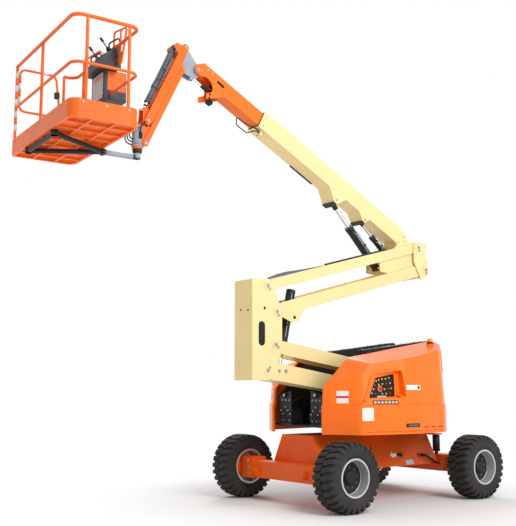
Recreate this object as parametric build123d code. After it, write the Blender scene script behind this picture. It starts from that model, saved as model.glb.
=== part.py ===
from build123d import *
from math import atan, cos, degrees, radians, sin
import os

# Articulating boom lift, in millimetres.
# X runs along the chassis towards the steering axle, Y to its left side, Z up from the ground.
# Pieces are drawn about the swing axis; the end of the file moves them all to the middle of their footprint.

# chassis and wheels
wheelbase = 2340
overall_width = 2340
tyre_radius = 410
tyre_width = 330
lug_count = 20
lug_depth = 30
tread_drop = 50
lug_width = 50
rim_radius = 212
rim_wall = 8
rim_flange = 12
rim_dish = 150
hub_radius = 105
hub_back = 60
hub_front = 70
wheel_gap = 8
rear_beam_reach = (-100, 100)
rear_beam_z = (290, 500)
rear_housing_reach = (-115, 105)
rear_housing_z = (278, 542)
rear_housing_inset = 320
front_beam_reach = (-115, 115)
front_beam_z = (320, 540)
front_fork_length = 170
chassis_top = 845
chassis_bottom = 425
chassis_front_gap = 40
chassis_top_half = 290
chassis_bottom_half = 500
chassis_plate = 12
kingpin_inset = 230
kingpin_radius = 26
steer_rod_inset = 70
steer_rod_radius = 18
steer_barrel_half = 260
steer_barrel_radius = 38
steer_arm_tip = (215, -30)
ring_radius = 420
ring_bore = 320

side_slot_x = (665, 800)
side_slot_z = (512, 568)
side_hole = (-137, 667)
side_hole_radius = 16
lug_eye = 16
tie_lugs = (540, -412)
tie_eye_out = 42
tie_eye_z = 385
wheel_hose_radius = 15
wheel_hose = ((745, -430, 540), (770, -490, 548), (880, -518, 478), (965, -518, 430), (1040, -518, 430))

# turntable
swing_radius = 1190
turntable_gap = 1
floor_bottom = 945
floor_plate = 20
valley_half = 455
valley_wall = 15
hood_inner = 470
hood_side = 1030
hood_bottom = 870
hood_wall = 26
hood_fall = 0.2
hood_crease = 1225
hood_step = 14
hood_lean = 3.2
hood_ease = 150
roof_line = ((-620, 1818), (960, 2080))
hinge_drop = 38
hinge_out = 462
hinge_radius = 9
hinge_reach = (-300, 880)
hinge_knuckles = (-90, 290, 760)
knuckle_width = 40
beacon_place = (760, -640)
beacon_seat = 2026
cover_half = (250, 410)
cheek_in = 168
cheek_out = 190

# tower plates and pins, plates measured from the centre plane outwards
pin_radius = 28
pin_gap = 0.5
link_in = 148
link_out = 160
upright_in = 168
upright_out = 183
riser_in = 128
riser_out = 140
web = 8
boss_radius = 56
boss_thick = 8

# tower pivots in X and Z
lower_angle = 8.6
upper_angle = 15.25
turret_pin = (1090, 1567)
turret_pin_2 = (964, 1247)
lower_length = 2677
upper_length = 2868
upright_rise = (-124.1, 721.7)
upper_spacing = (147, -315)
upright_depth = 236
upright_plate = 12

# main boom, with s from its pivot to its tip and t square to it
boom_angle = 26.64
boom_pivot_offset = (-250, -27)
boom_length = 2918
boom_half = 120
boom_low = 5
boom_high = 240
boom_wall = 9
fly_half = 95
fly_low = 30
fly_high = 215
fly_wall = 8
fly_root = 750

# lugs under the main boom: outline in (s, t, corner radius), and the two ends of the sloping front plate
boom_lugs = (
    ([(1572, 6), (1412, -137, 14), (1345, -143, 20), (1235, 6)], ((1572, 6), (1412, -137))),
    ([(960, 6), (852, -78, 12), (795, -82, 20), (735, 6)], ((960, 6), (852, -78))),
)

# hose looped under the boom's mouth, in (s, t), and the clamp it comes out of
tip_hose_y = -55
tip_hose_radius = 7
tip_hose = ((2836, -12), (2935, -12), (3045, -48), (3222, -66),
            (3180, -158), (3000, -150), (2900, -34), (2836, -34))
tip_clamp = ((2796, 6), (2840, 6), (2840, -46), (2796, -46))

# cylinders: foot and rod eye, barrel radius, rod radius
lift_foot_offset = (-428, -315)
lift_eye_st = (1380, -93)
master_foot_offset = (-180, -150)
master_eye_st = (810, -45)
slave_foot_st = (3600, -12)
knuckle_pin_st = (3976, 77)
slave_eye_offset = (-28, -70)
tower_trunnion_offset = (303, -55)
tower_eye_offset = (308, -2)
eye_half = 30
stub_from = 40

# jib
jib_angle = -64
jib_length = 1129
jib_pin_offset = (-185, 240)
jib_spacing = (-15, -262)
jib_arm_in = 82
jib_arm_out = 92
jib_link_in = 62
jib_link_out = 72
knuckle_in = 44
knuckle_out = 56
jib_pin_radius = 20
rotator_offset = (-85, -190)
rotator_radius = 62
rotator_height = 290

# platform
platform_length = 1830
platform_width = 760
platform_turn = -4
platform_bottom = 4091
platform_centre = (-4261, -9)
rail_height = 1096
mid_rail_height = 577
toe_height = 194
rail_tube = 19
rail_corner = 110
gate_tube = 14
post_inset = 22
gate_top = 1060
gate_foot = 550
latch_x = 214
guard_x = 388
deck_corner = 110
console_y = (-280, 215)
box_x = (290, 555)
box_y = (-158, 200)
box_z = (513, 851)


def shifted(point, vector, length=1.0):
    return point[0] + vector[0] * length, point[1] + vector[1] * length


def rising(angle):
    """Direction in X and Z that points to -X and rises by an angle."""
    return -cos(radians(angle)), sin(radians(angle))


def outline(points, radius):
    radii = [p[3] if len(p) > 3 else radius for p in points]
    return make_face(FilletPolyline(*[p[:3] for p in points], radius=radii, close=True))


def plate(points, y0, y1, radius=0):
    """Plate square to Y, with an outline of (x, z) or (x, z, corner radius) points."""
    corners = [(p[0], y0, p[1]) + tuple(p[2:]) for p in points]
    return extrude(outline(corners, radius), amount=y1 - y0, dir=(0, 1, 0))


def slab(points, z0, z1, radius=0):
    """Plate square to Z, with an outline of (x, y) or (x, y, corner radius) points."""
    corners = [(p[0], p[1], z0) + tuple(p[2:]) for p in points]
    return extrude(outline(corners, radius), amount=z1 - z0, dir=(0, 0, 1))


def bulkhead(points, x0, x1, radius=0):
    """Plate square to X, with an outline of (y, z) or (y, z, corner radius) points."""
    corners = [(x0, p[0], p[1]) + tuple(p[2:]) for p in points]
    return extrude(outline(corners, radius), amount=x1 - x0, dir=(1, 0, 0))


def block(x, y, z):
    """Box between pairs of limits along X, Y and Z."""
    centre = Pos((x[0] + x[1]) / 2, (y[0] + y[1]) / 2, (z[0] + z[1]) / 2)
    return centre * Box(x[1] - x[0], y[1] - y[0], z[1] - z[0])


def rod_y(point, radius, y0, y1):
    return Pos(point[0], (y0 + y1) / 2, point[1]) * Rot(90, 0, 0) * Cylinder(radius, y1 - y0)


def rod_z(x, y, radius, z0, z1):
    return Pos(x, y, (z0 + z1) / 2) * Cylinder(radius, z1 - z0)


def rod_x(y, z, radius, x0, x1):
    return Pos((x0 + x1) / 2, y, z) * Rot(0, 90, 0) * Cylinder(radius, x1 - x0)


def both(shape):
    """A piece together with its mirror image across the centre plane."""
    return shape + mirror(shape, about=Plane.XZ)


def tube(points, bend, radius, close=False):
    """Round bar along straight runs with bent corners."""
    path = FilletPolyline(*points, radius=bend, close=close) if len(points) > 2 else Line(*points)
    section = Plane(origin=path @ 0, z_dir=path % 0) * Circle(radius)
    return sweep(section, path=path)


def placed(shape, pivot, angle):
    """Puts a piece drawn with its pivot at the origin and pointing to -X at its pivot and angle."""
    return Pos(pivot[0], 0, pivot[1]) * Rot(0, angle, 0) * shape


def on_member(pivot, angle, s, t):
    """World X and Z of a point s along and t above a member that points to -X."""
    a = radians(angle)
    return pivot[0] - s * cos(a) + t * sin(a), pivot[1] + s * sin(a) + t * cos(a)


def along(points):
    """Turns (s, t) points of a member into the (x, z) points it is drawn with."""
    return [(-p[0], p[1]) + tuple(p[2:]) for p in points]


# axle places that follow from the wheelbase and the width
axle_x = wheelbase / 2
wheel_half = (overall_width - tyre_width) / 2
disc_y = tyre_width / 2 - rim_dish
hub_inner = wheel_half + disc_y - hub_back
kingpin_half = hub_inner - kingpin_inset
front_beam_half = kingpin_half - front_fork_length
steer_rod_half = kingpin_half - steer_rod_inset
steer_rod_x = axle_x + steer_arm_tip[0]
rear_beam_x = tuple(-axle_x + reach for reach in rear_beam_reach)
rear_housing_x = tuple(-axle_x + reach for reach in rear_housing_reach)
front_beam_x = tuple(axle_x + reach for reach in front_beam_reach)
chassis_rear = rear_beam_x[1]
chassis_front = front_beam_x[0] - chassis_front_gap
tie_eye = (rear_beam_x[0] - tie_eye_out, tie_eye_z)

# pivots that follow from the named ones
lower_pin = shifted(turret_pin, rising(lower_angle), lower_length)
lower_pin_2 = shifted(turret_pin_2, rising(lower_angle), lower_length)
upper_pin = shifted(lower_pin, upright_rise)
upper_pin_2 = shifted(upper_pin, upper_spacing)
riser_pin = shifted(upper_pin, rising(180 - upper_angle), upper_length)
riser_pin_2 = shifted(upper_pin_2, rising(180 - upper_angle), upper_length)
boom_pivot = shifted(riser_pin, boom_pivot_offset)
lift_foot = shifted(boom_pivot, lift_foot_offset)
lift_eye = on_member(boom_pivot, boom_angle, *lift_eye_st)
master_foot = shifted(boom_pivot, master_foot_offset)
master_eye = on_member(boom_pivot, boom_angle, *master_eye_st)
slave_foot = on_member(boom_pivot, boom_angle, *slave_foot_st)
knuckle_pin = on_member(boom_pivot, boom_angle, *knuckle_pin_st)
slave_eye = shifted(knuckle_pin, slave_eye_offset)
tower_trunnion = shifted(upper_pin_2, tower_trunnion_offset)
tower_eye = shifted(lower_pin_2, tower_eye_offset)
jib_pin = shifted(knuckle_pin, jib_pin_offset)
jib_pin_2 = shifted(jib_pin, jib_spacing)
jib_end_pin = shifted(jib_pin, rising(jib_angle), jib_length)
jib_end_pin_2 = shifted(jib_end_pin, jib_spacing)
jib_foot = on_member(jib_pin, jib_angle, 50, 100)
jib_eye = shifted(jib_end_pin, (-10, 165))
rotator = shifted(jib_end_pin, rotator_offset)

nodes = {}


# wheels

wheels = {
    "rear_right": (-axle_x, -1),
    "rear_left": (-axle_x, 1),
    "front_right": (axle_x, -1),
    "front_left": (axle_x, 1),
}


def turned(profile):
    """Turns an outline of (y, radius) points about the Y axis."""
    return revolve(make_face(Polyline(*[(0, y, r) for y, r in profile], close=True)), Axis.Y)


def tyre():
    """Many-sided carcass with two staggered rows of bar lugs that wrap over the shoulders."""
    half = tyre_width / 2
    side = half - 10
    shoulder = side - 40
    tread = tyre_radius - lug_depth
    sides = 2 * lug_count

    def ring(y, outward):
        place = Plane(origin=(0, y, 0), x_dir=(1, 0, 0), z_dir=(0, outward, 0))
        return place * RegularPolygon(tread, sides, major_radius=False, rotation=180 / sides)

    carcass = extrude(ring(-shoulder, 1), amount=2 * shoulder)
    lean = degrees(atan(tread_drop / (side - shoulder)))
    for outward in (1, -1):
        carcass += extrude(ring(outward * shoulder, outward), amount=side - shoulder, taper=lean)
    bar = [(10, tread - 20), (10, tyre_radius), (half - 24, tyre_radius), (half, tyre_radius - 34), (half, 296),
           (side - 20, 280)]
    lug = bulkhead(bar, -lug_width / 2, lug_width / 2)
    other = mirror(lug, about=Plane.XZ)
    step = 360 / lug_count
    lugs = [Rot(0, step * n, 0) * lug for n in range(lug_count)]
    lugs += [Rot(0, step * (n + 0.5), 0) * other for n in range(lug_count)]
    bead = both(rod_y((0, 0), rim_radius + rim_flange + 2, half - 26, half))
    return carcass + lugs - rod_y((0, 0), rim_radius, -half, half) - bead


def rim():
    """Rim with its disc set in from the outer side, and the hub it is bolted to."""
    half = tyre_width / 2
    inner = rim_radius - rim_wall
    lip = half - 25
    return turned([
        (-half + 8, rim_radius + rim_flange), (-half + 8, inner), (disc_y - 60, inner - 14),
        (disc_y, inner - 14), (disc_y, hub_radius), (disc_y - hub_back, hub_radius - 10),
        (disc_y - hub_back, 0), (disc_y + hub_front, 0), (disc_y + hub_front, 62), (disc_y + 40, 78),
        (disc_y + 14, 84), (disc_y + 14, inner - 45), (disc_y + 30, inner - 14), (half - 8, inner),
        (half - 8, rim_radius + rim_flange), (lip, rim_radius + rim_flange), (lip, rim_radius),
        (-lip, rim_radius), (-lip, rim_radius + rim_flange),
    ])


for name, (x, side) in wheels.items():
    place = Pos(x, side * wheel_half, tyre_radius) * Rot(0, 0, 90 - 90 * side)
    nodes["tyre_" + name] = place * tyre()
    nodes["rim_" + name] = place * rim()


# chassis

def chassis_frame():
    """Welded box that widens towards its open foot, with the ring that the turntable swings on."""
    t = chassis_plate
    half = chassis_bottom_half
    outer = [(-chassis_top_half, chassis_top), (chassis_top_half, chassis_top),
             (half, chassis_bottom), (-half, chassis_bottom)]
    inner = [(-chassis_top_half + t, chassis_top - t), (chassis_top_half - t, chassis_top - t),
             (half - t, chassis_bottom - t), (-half + t, chassis_bottom - t)]
    body = bulkhead(outer, chassis_rear, chassis_front)
    body -= bulkhead(inner, chassis_rear + t, chassis_front - t)
    body += rod_z(0, 0, ring_radius, chassis_top - t, floor_bottom - turntable_gap)
    body -= rod_z(0, 0, ring_bore, chassis_top - 2 * t, floor_bottom)
    shelf_end = front_beam_x[0] + 95
    lockout_shelf = block((chassis_front - t, shelf_end), (280, 470), (chassis_top - 45, chassis_top - 25))
    body += both(lockout_shelf)
    body += rod_x(0, (front_beam_z[0] + front_beam_z[1]) / 2 + 15, 70, chassis_front - t, front_beam_x[0])
    body -= both(block(side_slot_x, (chassis_top_half, chassis_bottom_half), side_slot_z))
    return body - both(rod_y(side_hole, side_hole_radius, chassis_top_half, chassis_bottom_half))


def rear_axle():
    start = hub_inner - rear_housing_inset
    beam = block(rear_beam_x, (-start - 60, start + 60), rear_beam_z)
    end = block(rear_housing_x, (start, hub_inner - 45), rear_housing_z)
    end += rod_y((-axle_x, tyre_radius), 150, hub_inner - 46, hub_inner - wheel_gap)
    eye_x, eye_z = tie_eye
    face = rear_beam_x[0]
    lug = [(face + 1, eye_z - 55), (eye_x - 10, eye_z - 40, 20), (eye_x - 34, eye_z, 20),
           (eye_x - 10, eye_z + 40, 20),
           (face + 1, eye_z + 55)]
    for y in tie_lugs:
        beam += plate(lug, y - 9, y + 9) - rod_y(tie_eye, lug_eye, y - 10, y + 10)
    return beam + both(end)


def front_axle():
    """Beam that rocks on the chassis pivot, with a fork at each end for the kingpin."""
    x0, x1 = front_beam_x
    beam = block(front_beam_x, (-front_beam_half, front_beam_half), front_beam_z)
    fork = block((x0 + 25, x1 - 25), (front_beam_half - 1, kingpin_half + 45), (505, front_beam_z[1]))
    fork += block((x0 + 25, x1 - 25), (front_beam_half - 1, kingpin_half + 45), (front_beam_z[0], 350))
    fork += rod_z(axle_x, kingpin_half, kingpin_radius, 349, 506)
    end_x, end_y, end_z = wheel_hose[-1]
    gland = rod_x(end_y, end_z, wheel_hose_radius + 9, end_x - 22, x0)
    gland -= rod_x(end_y, end_z, wheel_hose_radius, 0, end_x)
    return beam + both(fork) + gland


def knuckle():
    """Steering knuckle about a kingpin at the origin, for the left side, with its arm."""
    neck = hub_inner - wheel_gap - kingpin_half
    body = rod_y((0, tyre_radius), 55, 0, neck - 40) + rod_y((0, tyre_radius), 140, neck - 41, neck)
    body += rod_z(0, 0, 60, 356, 499)
    tip_x, tip_y = steer_arm_tip
    arm = [(0, 50), (tip_x + 26, tip_y + 26, 25), (tip_x + 26, tip_y - 26, 25), (0, -50)]
    body += slab(arm, 405, 430)
    return body - rod_z(0, 0, kingpin_radius + pin_gap, 300, 550)


def steer_barrel():
    barrel = rod_y((steer_rod_x, tyre_radius + 7), steer_barrel_radius, -steer_barrel_half, steer_barrel_half)
    foot = block((front_beam_x[1], steer_rod_x), (150, 190), (tyre_radius - 20, tyre_radius + 34))
    barrel += both(foot)
    return barrel - rod_y((steer_rod_x, tyre_radius + 7), steer_rod_radius + pin_gap, -400, 400)


nodes["chassis_frame"] = chassis_frame()
nodes["rear_axle"] = rear_axle()
nodes["front_axle"] = front_axle()
nodes["steer_cylinder"] = steer_barrel()
nodes["steer_rod"] = rod_y((steer_rod_x, tyre_radius + 7), steer_rod_radius, -steer_rod_half, steer_rod_half)
nodes["knuckle_left"] = Pos(axle_x, kingpin_half, 0) * knuckle()
nodes["knuckle_right"] = mirror(nodes["knuckle_left"], about=Plane.XZ)
nodes["wheel_hose"] = tube(wheel_hose, 40, wheel_hose_radius)
lockout_x = front_beam_x[0] + 45
lockout = rod_z(lockout_x, 405, 42, 575, chassis_top - 45) + rod_z(lockout_x, 405, 24, front_beam_z[1], 576)
nodes["lockout_cylinders"] = both(lockout)


# turntable

def roof_height(x, y):
    """Height of the hood's roof at a point, before its edges are eased."""
    (x0, z0), (x1, z1) = roof_line
    return z0 + (x - x0) * (z1 - z0) / (x1 - x0) - (abs(y) - hood_inner) * hood_fall


def along_hinge(x0, x1, y0, y1, low, high):
    """Bar that follows the slope of the hood's hinge line, between offsets from that line."""
    corners = [(x, y0, roof_height(x, hood_inner) - hinge_drop + z) for x, z in
               ((x0, low), (x1, low), (x1, high), (x0, high))]
    return extrude(outline(corners, 0), amount=y1 - y0, dir=(0, 1, 0))


def hinge_rod(x0, x1, y, radius):
    """Round bar on the hood's hinge line."""
    start, stop = [Vector(x, y, roof_height(x, hood_inner) - hinge_drop) for x in (x0, x1)]
    return extrude(Plane(origin=start, z_dir=stop - start) * Circle(radius), amount=(stop - start).length)


def turntable_base():
    """Floor, valley walls with the hoods' hinge bars, and end plates."""
    floor = block((-1000, 1040), (-valley_half, valley_half), (floor_bottom, floor_bottom + floor_plate))
    floor += both(block((-800, 660), (valley_half - 1, 780), (floor_bottom, floor_bottom + floor_plate)))
    start, stop = hinge_reach
    top = [(x, roof_height(x, hood_inner) - hinge_drop + 4) for x in (stop, start)]
    wall = [(-1000, 960), (1000, 960), (1040, 1500), (1040, 1900), (stop + 60, top[0][1]), top[0], top[1],
            (-560, 1740), (-1000, 1330)]
    side = plate(wall, valley_half - valley_wall, valley_half)
    side += along_hinge(start, stop, valley_half - valley_wall, hinge_out, -5, 4)
    side += hinge_rod(start, stop, hinge_out, hinge_radius)
    for x in hinge_knuckles:
        reach = knuckle_width / 2 + 4
        gap = along_hinge(x - reach, x + reach, valley_half - valley_wall - 1, hinge_out + 20, -23, 30)
        side -= gap - hinge_rod(start, stop, hinge_out, hinge_radius)
    side += bulkhead([(cheek_out, 960), (valley_half, 960), (valley_half, 1330), (cheek_out, 1400)], -1000, -988)
    return floor + both(side)


def cheek():
    """Plate that carries the lower links' pins, with its pin bosses."""
    x, z = turret_pin
    x2, z2 = turret_pin_2
    base = floor_bottom + floor_plate
    side = [(x2 - 264, base), (x2 + 76, base), (x2 + 76, z2 - 187, 20), (x2 + 206, z2 - 97, 60),
            (x + 80, z + 33, 70), (x + 30, z + 113, 60), (x - 80, z + 113, 50), (x2 - 114, z2 + 73, 80), (x2 - 264, z2 - 127, 40)]
    body = plate(side, cheek_in, cheek_out)
    for point in (turret_pin, turret_pin_2):
        body += rod_y(point, boss_radius, cheek_out, cheek_out + boss_thick)
    return body


def counterweight():
    tail = rod_z(0, 0, swing_radius - 5, floor_bottom + floor_plate, 1450)
    tail &= block((720, 1200), (-valley_half + valley_wall, valley_half - valley_wall), (900, 1500))
    well = block((600, 1205), (-cheek_out - 30, cheek_out + 30), (900, 1500))
    well -= block((1085, 1205), (-cheek_in + 6, cheek_in - 6), (900, 1120))
    return tail - well


nodes["turntable_base"] = turntable_base()
pin_end = cheek_out + boss_thick + 6
pins = [rod_y(point, pin_radius, -pin_end, pin_end) for point in (turret_pin, turret_pin_2)]
nodes["tower_cheeks"] = both(cheek()) + pins
nodes["counterweight"] = counterweight()


def hood(inset):
    """Right-hand compartment hood as a solid, drawn in by an inset from its outer faces."""
    def plan(grow, z):
        points = [(-1070 + grow, -300, 0), (-1070 + grow, -500, 0), (-800 + 0.7 * grow, -905 + grow, 130),
                  (0, -1042 + grow, 900), (640, -965 + grow, 260), (900 - 0.7 * grow, -770 + 0.7 * grow, 220),
                  (1100 - grow, -430, 60), (1100 - grow, -300, 0)]
        return outline([(p[0], p[1], z, p[2]) for p in points], 0)

    rear_top, front_top = roof_line
    roof = [(-1200, 700), (-1200, 1330 - inset), (-1040, 1440 - inset, 120),
            (rear_top[0], rear_top[1] - inset, 170), (front_top[0], front_top[1] - inset, 110),
            (1200, front_top[1] - 95 - inset), (1200, 700)]

    def under(fall, start, drop):
        corners = [(p[0], start, p[1] - drop if p[1] > 1000 else 300) + tuple(p[2:]) for p in roof]
        return extrude(outline(corners, 0), amount=1100, dir=(0, -1, -fall))

    upper = extrude(plan(inset + hood_step, hood_crease - inset), amount=1100, taper=hood_lean)
    upper &= under(hood_fall, -hood_inner + 200, -200 * hood_fall)
    upper &= under(1.1, -hood_inner + 200, hood_ease - (hood_side - hood_inner + 200) * 1.1)
    skirt = extrude(plan(inset, hood_bottom - inset), amount=hood_crease - hood_bottom)
    body = upper + skirt
    return body & block((-1200, 1200), (-1300, -hood_inner), (700, 2400))


def hood_shell():
    """Hood with a wall of even thickness, open below and towards the tower, and its hinge knuckles."""
    room = hood(hood_wall) + block((-1040, 1065), (-850, -hood_inner), (800, hood_bottom + 1))
    shell = hood(0) - room
    for x in hinge_knuckles:
        half = knuckle_width / 2
        ring = hinge_rod(x - half, x + half, -hinge_out, hinge_radius + 8)
        ring += along_hinge(x - half, x + half, -hinge_out - 40, -hinge_out, -6, hinge_drop - hood_wall + 4)
        shell += ring - hinge_rod(x - half - 5, x + half + 5, -hinge_out, hinge_radius + pin_gap)
    return shell


def with_window(shell):
    """Cuts the recessed control window and adds its reveal."""
    outer = [(-700, 1292, 25), (-630, 1600, 50), (-150, 1685, 50), (-105, 1310, 25)]
    inner = [(-690, 1304, 20), (-612, 1584, 42), (-165, 1664, 42), (-120, 1322, 20)]
    pane = [(-680, 1312, 15), (-560, 1560, 30), (-235, 1612, 30), (-225, 1330, 15)]
    shell -= plate(outer, -1100, -700)
    shell += (plate(outer, -1100, -895) - plate(inner, -1101, -903)) & hood(0)
    return shell + plate(outer, -903, -895) - plate(pane, -904, -894)


def with_beacon_seat(shell):
    x, y = beacon_place
    seat = rod_z(x, y, 52, beacon_seat - 50, beacon_seat)
    return shell + (seat - hood(hood_wall))


nodes["hood_right"] = with_beacon_seat(with_window(hood_shell()))
nodes["hood_left"] = mirror(hood_shell(), about=Plane.XZ)
nodes["engine_block"] = block((-450, 450), (480, 780), (floor_bottom + floor_plate, 1560))
nodes["fuel_tank"] = block((-120, 600), (-780, -480), (floor_bottom + floor_plate, 1500))
nodes["control_panel"] = block((-600, -200), (-850, -480), (1300, 1600))
cover = [(-250, 1925), (1000, 2085), (1040, 2050), (1040, 1960), (-250, 1820)]
bracket = block((900, 960), (cover_half[1] - 1, valley_half - valley_wall), (1870, 1962))
nodes["compartment_cover"] = both(plate(cover, *cover_half) + bracket)
nodes["beacon"] = rod_z(*beacon_place, 45, beacon_seat, beacon_seat + 76)


# lower links

def link(points, y0, y1, webs, bores, radius=pin_radius + pin_gap):
    """Pair of plates joined by webs, with pin bores; all in (s, t) of the member."""
    body = both(plate(along(points), y0, y1, 0))
    for s0, t0, s1, t1, thick in webs:
        body += plate(along([(s0, t0), (s1, t1), (s1, t1 + thick), (s0, t0 + thick)]), -y0 - 1, y0 + 1)
    for s, t in bores:
        body -= rod_y((-s, t), radius, -y1 - 1, y1 + 1)
    return body


end = 68
lower_1 = link(
    [(-end, -end, end), (200, -100, 90), (lower_length - 200, -100, 90), (lower_length + end, -end, end),
     (lower_length + end, 65, end - 4), (-end, 65, end - 4)],
    link_in, link_out, [(160, 57, lower_length - 527, 57, web)], [(0, 0), (lower_length, 0)])
lower_2 = link(
    [(-end, -end, end), (120, -55, 90), (lower_length - 120, -98, 90), (lower_length + end, -end, end),
     (lower_length + end, end, end - 4), (lower_length - 130, 120, 90), (160, 120, 90), (-end, end, end - 4)],
    link_in, link_out, [(150, -52, lower_length - 130, -95, web)], [(0, 0), (lower_length, 0)])
nodes["lower_link_1"] = placed(lower_1, turret_pin, lower_angle)
nodes["lower_link_2"] = placed(lower_2, turret_pin_2, lower_angle)
nodes["lower_link_2"] += both(rod_y(tower_eye, 20, stub_from, link_out + 8))


# upright between the lower and the upper links

def upright():
    """Upright with its back plate; the side's corners are given from the top pin and from the lowest pin."""
    back = upper_pin[0] - upright_depth
    low, high = lower_pin_2[1] - 120, upper_pin[1] + 70
    upper = ((36, 86, 20), (81, 1, 10), (113, -34, 30), (167, -174, 60), (221, -309, 60), (230, -364, 20))
    lower = ((230, 367, 60), (213, 205, 90), (173, 100, 60), (39, -114, 50))
    side = [(back, high, 0)]
    side += [(upper_pin[0] + x, upper_pin[1] + z, r) for x, z, r in upper]
    side += [(lower_pin_2[0] + x, lower_pin_2[1] + z, r) for x, z, r in lower]
    side += [(back, low, 0)]
    body = plate(side, upright_in, upright_out)
    slot_z = (lower_pin[1] - 22, lower_pin[1] + 278)
    slot = [(back + 200, slot_z[0]), (back + 200, slot_z[1]), (back + 95, slot_z[1]), (back + 95, slot_z[0])]
    body -= plate(slot, 100, 200, 50)
    body -= rod_y(shifted(upper_pin_2, (-194, 35)), 18, 100, 200)
    for point in (lower_pin, lower_pin_2, upper_pin, upper_pin_2):
        body += rod_y(point, boss_radius, upright_out, upright_out + boss_thick)
    body = both(body)
    body += block((back, back + upright_plate), (-upright_in - 1, upright_in + 1), (low, high))
    for point in (lower_pin, lower_pin_2, upper_pin, upper_pin_2):
        body += rod_y(point, pin_radius, -upright_out - boss_thick - 6, upright_out + boss_thick + 6)
    return body


nodes["upright"] = upright()


# upper links; they point to +X, so they are drawn mirrored

upper_1 = link(
    [(-end, -end, end), (upper_length + end, -end, end), (upper_length + end, end, end), (-end, end, end)],
    link_in, link_out, [(110, -end, 960, -end, web)], [(0, 0), (upper_length, 0)])
upper_2 = link(
    [(-end, -60, end - 4), (65, -68, 60), (230, -190, 60), (330, -200, 60), (470, -68, 100),
     (upper_length + 62, -62, 60), (upper_length + 62, 62, 60), (upper_length - 150, 92, 90), (160, 92, 90),
     (-end, 66, end - 4)],
    link_in, link_out, [(700, -end, 1580, -end, web)], [(0, 0), (upper_length, 0)])
nodes["upper_link_1"] = placed(mirror(upper_1, about=Plane.YZ), upper_pin, -upper_angle)
nodes["upper_link_2"] = placed(mirror(upper_2, about=Plane.YZ), upper_pin_2, -upper_angle)
nodes["upper_link_2"] -= rod_y(tower_trunnion, 20 + pin_gap, -link_out - 1, link_out + 1)


def ram(foot, eye, barrel_radius, barrel_length, rod_radius, eye_radius, foot_half, pin, closing):
    """Barrel with a pinned foot, and its rod with an eye; the rod can close by that much."""
    run = Vector(eye[0] - foot[0], 0, eye[1] - foot[1])
    along_run = Plane(origin=(foot[0], 0, foot[1]), z_dir=run)
    barrel = along_run * Pos(0, 0, barrel_length / 2 + 10) * Cylinder(barrel_radius, barrel_length - 20)
    barrel += rod_y(foot, pin + 18, -foot_half, foot_half)
    barrel -= rod_y(foot, pin + pin_gap, -foot_half - barrel_radius, foot_half + barrel_radius)
    bore_floor = pin + 20
    barrel -= along_run * Pos(0, 0, run.length / 2 + bore_floor) * Cylinder(rod_radius + pin_gap, run.length)
    start = bore_floor + closing + 4
    neck = run.length - eye_radius + 6
    rod = along_run * Pos(0, 0, (start + neck) / 2) * Cylinder(rod_radius, neck - start)
    rod += rod_y(eye, eye_radius, -eye_half, eye_half)
    rod -= rod_y(eye, eye_radius - 14, -eye_half - 1, eye_half + 1)
    return barrel, rod


def tower_ram():
    """Trunnioned barrel and the rod that reaches down to its eye."""
    run = Vector(tower_eye[0] - tower_trunnion[0], 0, tower_eye[1] - tower_trunnion[1])
    frame = Plane(origin=(tower_trunnion[0], 0, tower_trunnion[1]), z_dir=run)
    barrel = frame * Pos(0, 0, -20) * Cylinder(60, 700)
    barrel += both(rod_y(tower_trunnion, 20, 30, link_out + 6))
    barrel -= frame * Pos(0, 0, 44) * Cylinder(32 + pin_gap, 800)
    rod = frame * Pos(0, 0, run.length / 2 - 110) * Cylinder(32, run.length + 220)
    rod += rod_y(tower_eye, 42, -eye_half, eye_half)
    rod -= rod_y(tower_eye, 22, -eye_half - 1, eye_half + 1)
    return barrel, rod


nodes["tower_barrel"], nodes["tower_rod"] = tower_ram()


# upper upright

def riser():
    """Riser, with the corners of its plates given from its upper link pin."""
    inner = ((-741, -403), (-741, -283), (-486, -83), (-336, 57), (-156, 67), (74, 87), (194, 57), (139, -94),
             (211, -191), (191, -398), (114, -443), (-636, -413))
    fork = ((-86, 37), (190, 80), (139, -94), (211, -191), (191, -398), (49, -460), (-89, -218))
    inner, fork = [[shifted(riser_pin, corner) for corner in corners] for corners in (inner, fork)]
    body = plate(inner, riser_in, riser_out, 20) + plate(fork, upright_in, upright_out, 20)
    body += rod_y(shifted(riser_pin, (154, -153)), 16, riser_in, upright_out)
    for point in (riser_pin, riser_pin_2):
        body += rod_y(point, boss_radius, upright_out, upright_out + boss_thick)
    body = both(body)
    x, z = riser_pin
    body += block((x + 152, x + 164), (-riser_in - 1, riser_in + 1), (z - 383, z - 143))
    body += block((x - 6, x + 74), (-riser_in - 1, riser_in + 1), (z - 443, z - 431))
    for point in (riser_pin, riser_pin_2):
        body += rod_y(point, pin_radius, -upright_out - boss_thick - 6, upright_out + boss_thick + 6)
    body += rod_y(boom_pivot, pin_radius, -riser_out - 8, riser_out + 8)
    body += rod_y(lift_foot, 24, -riser_out - 6, riser_out + 6)
    body += rod_y(master_foot, 18, -riser_out - 6, riser_out + 6)
    return body


nodes["riser"] = riser()


# main boom

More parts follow.
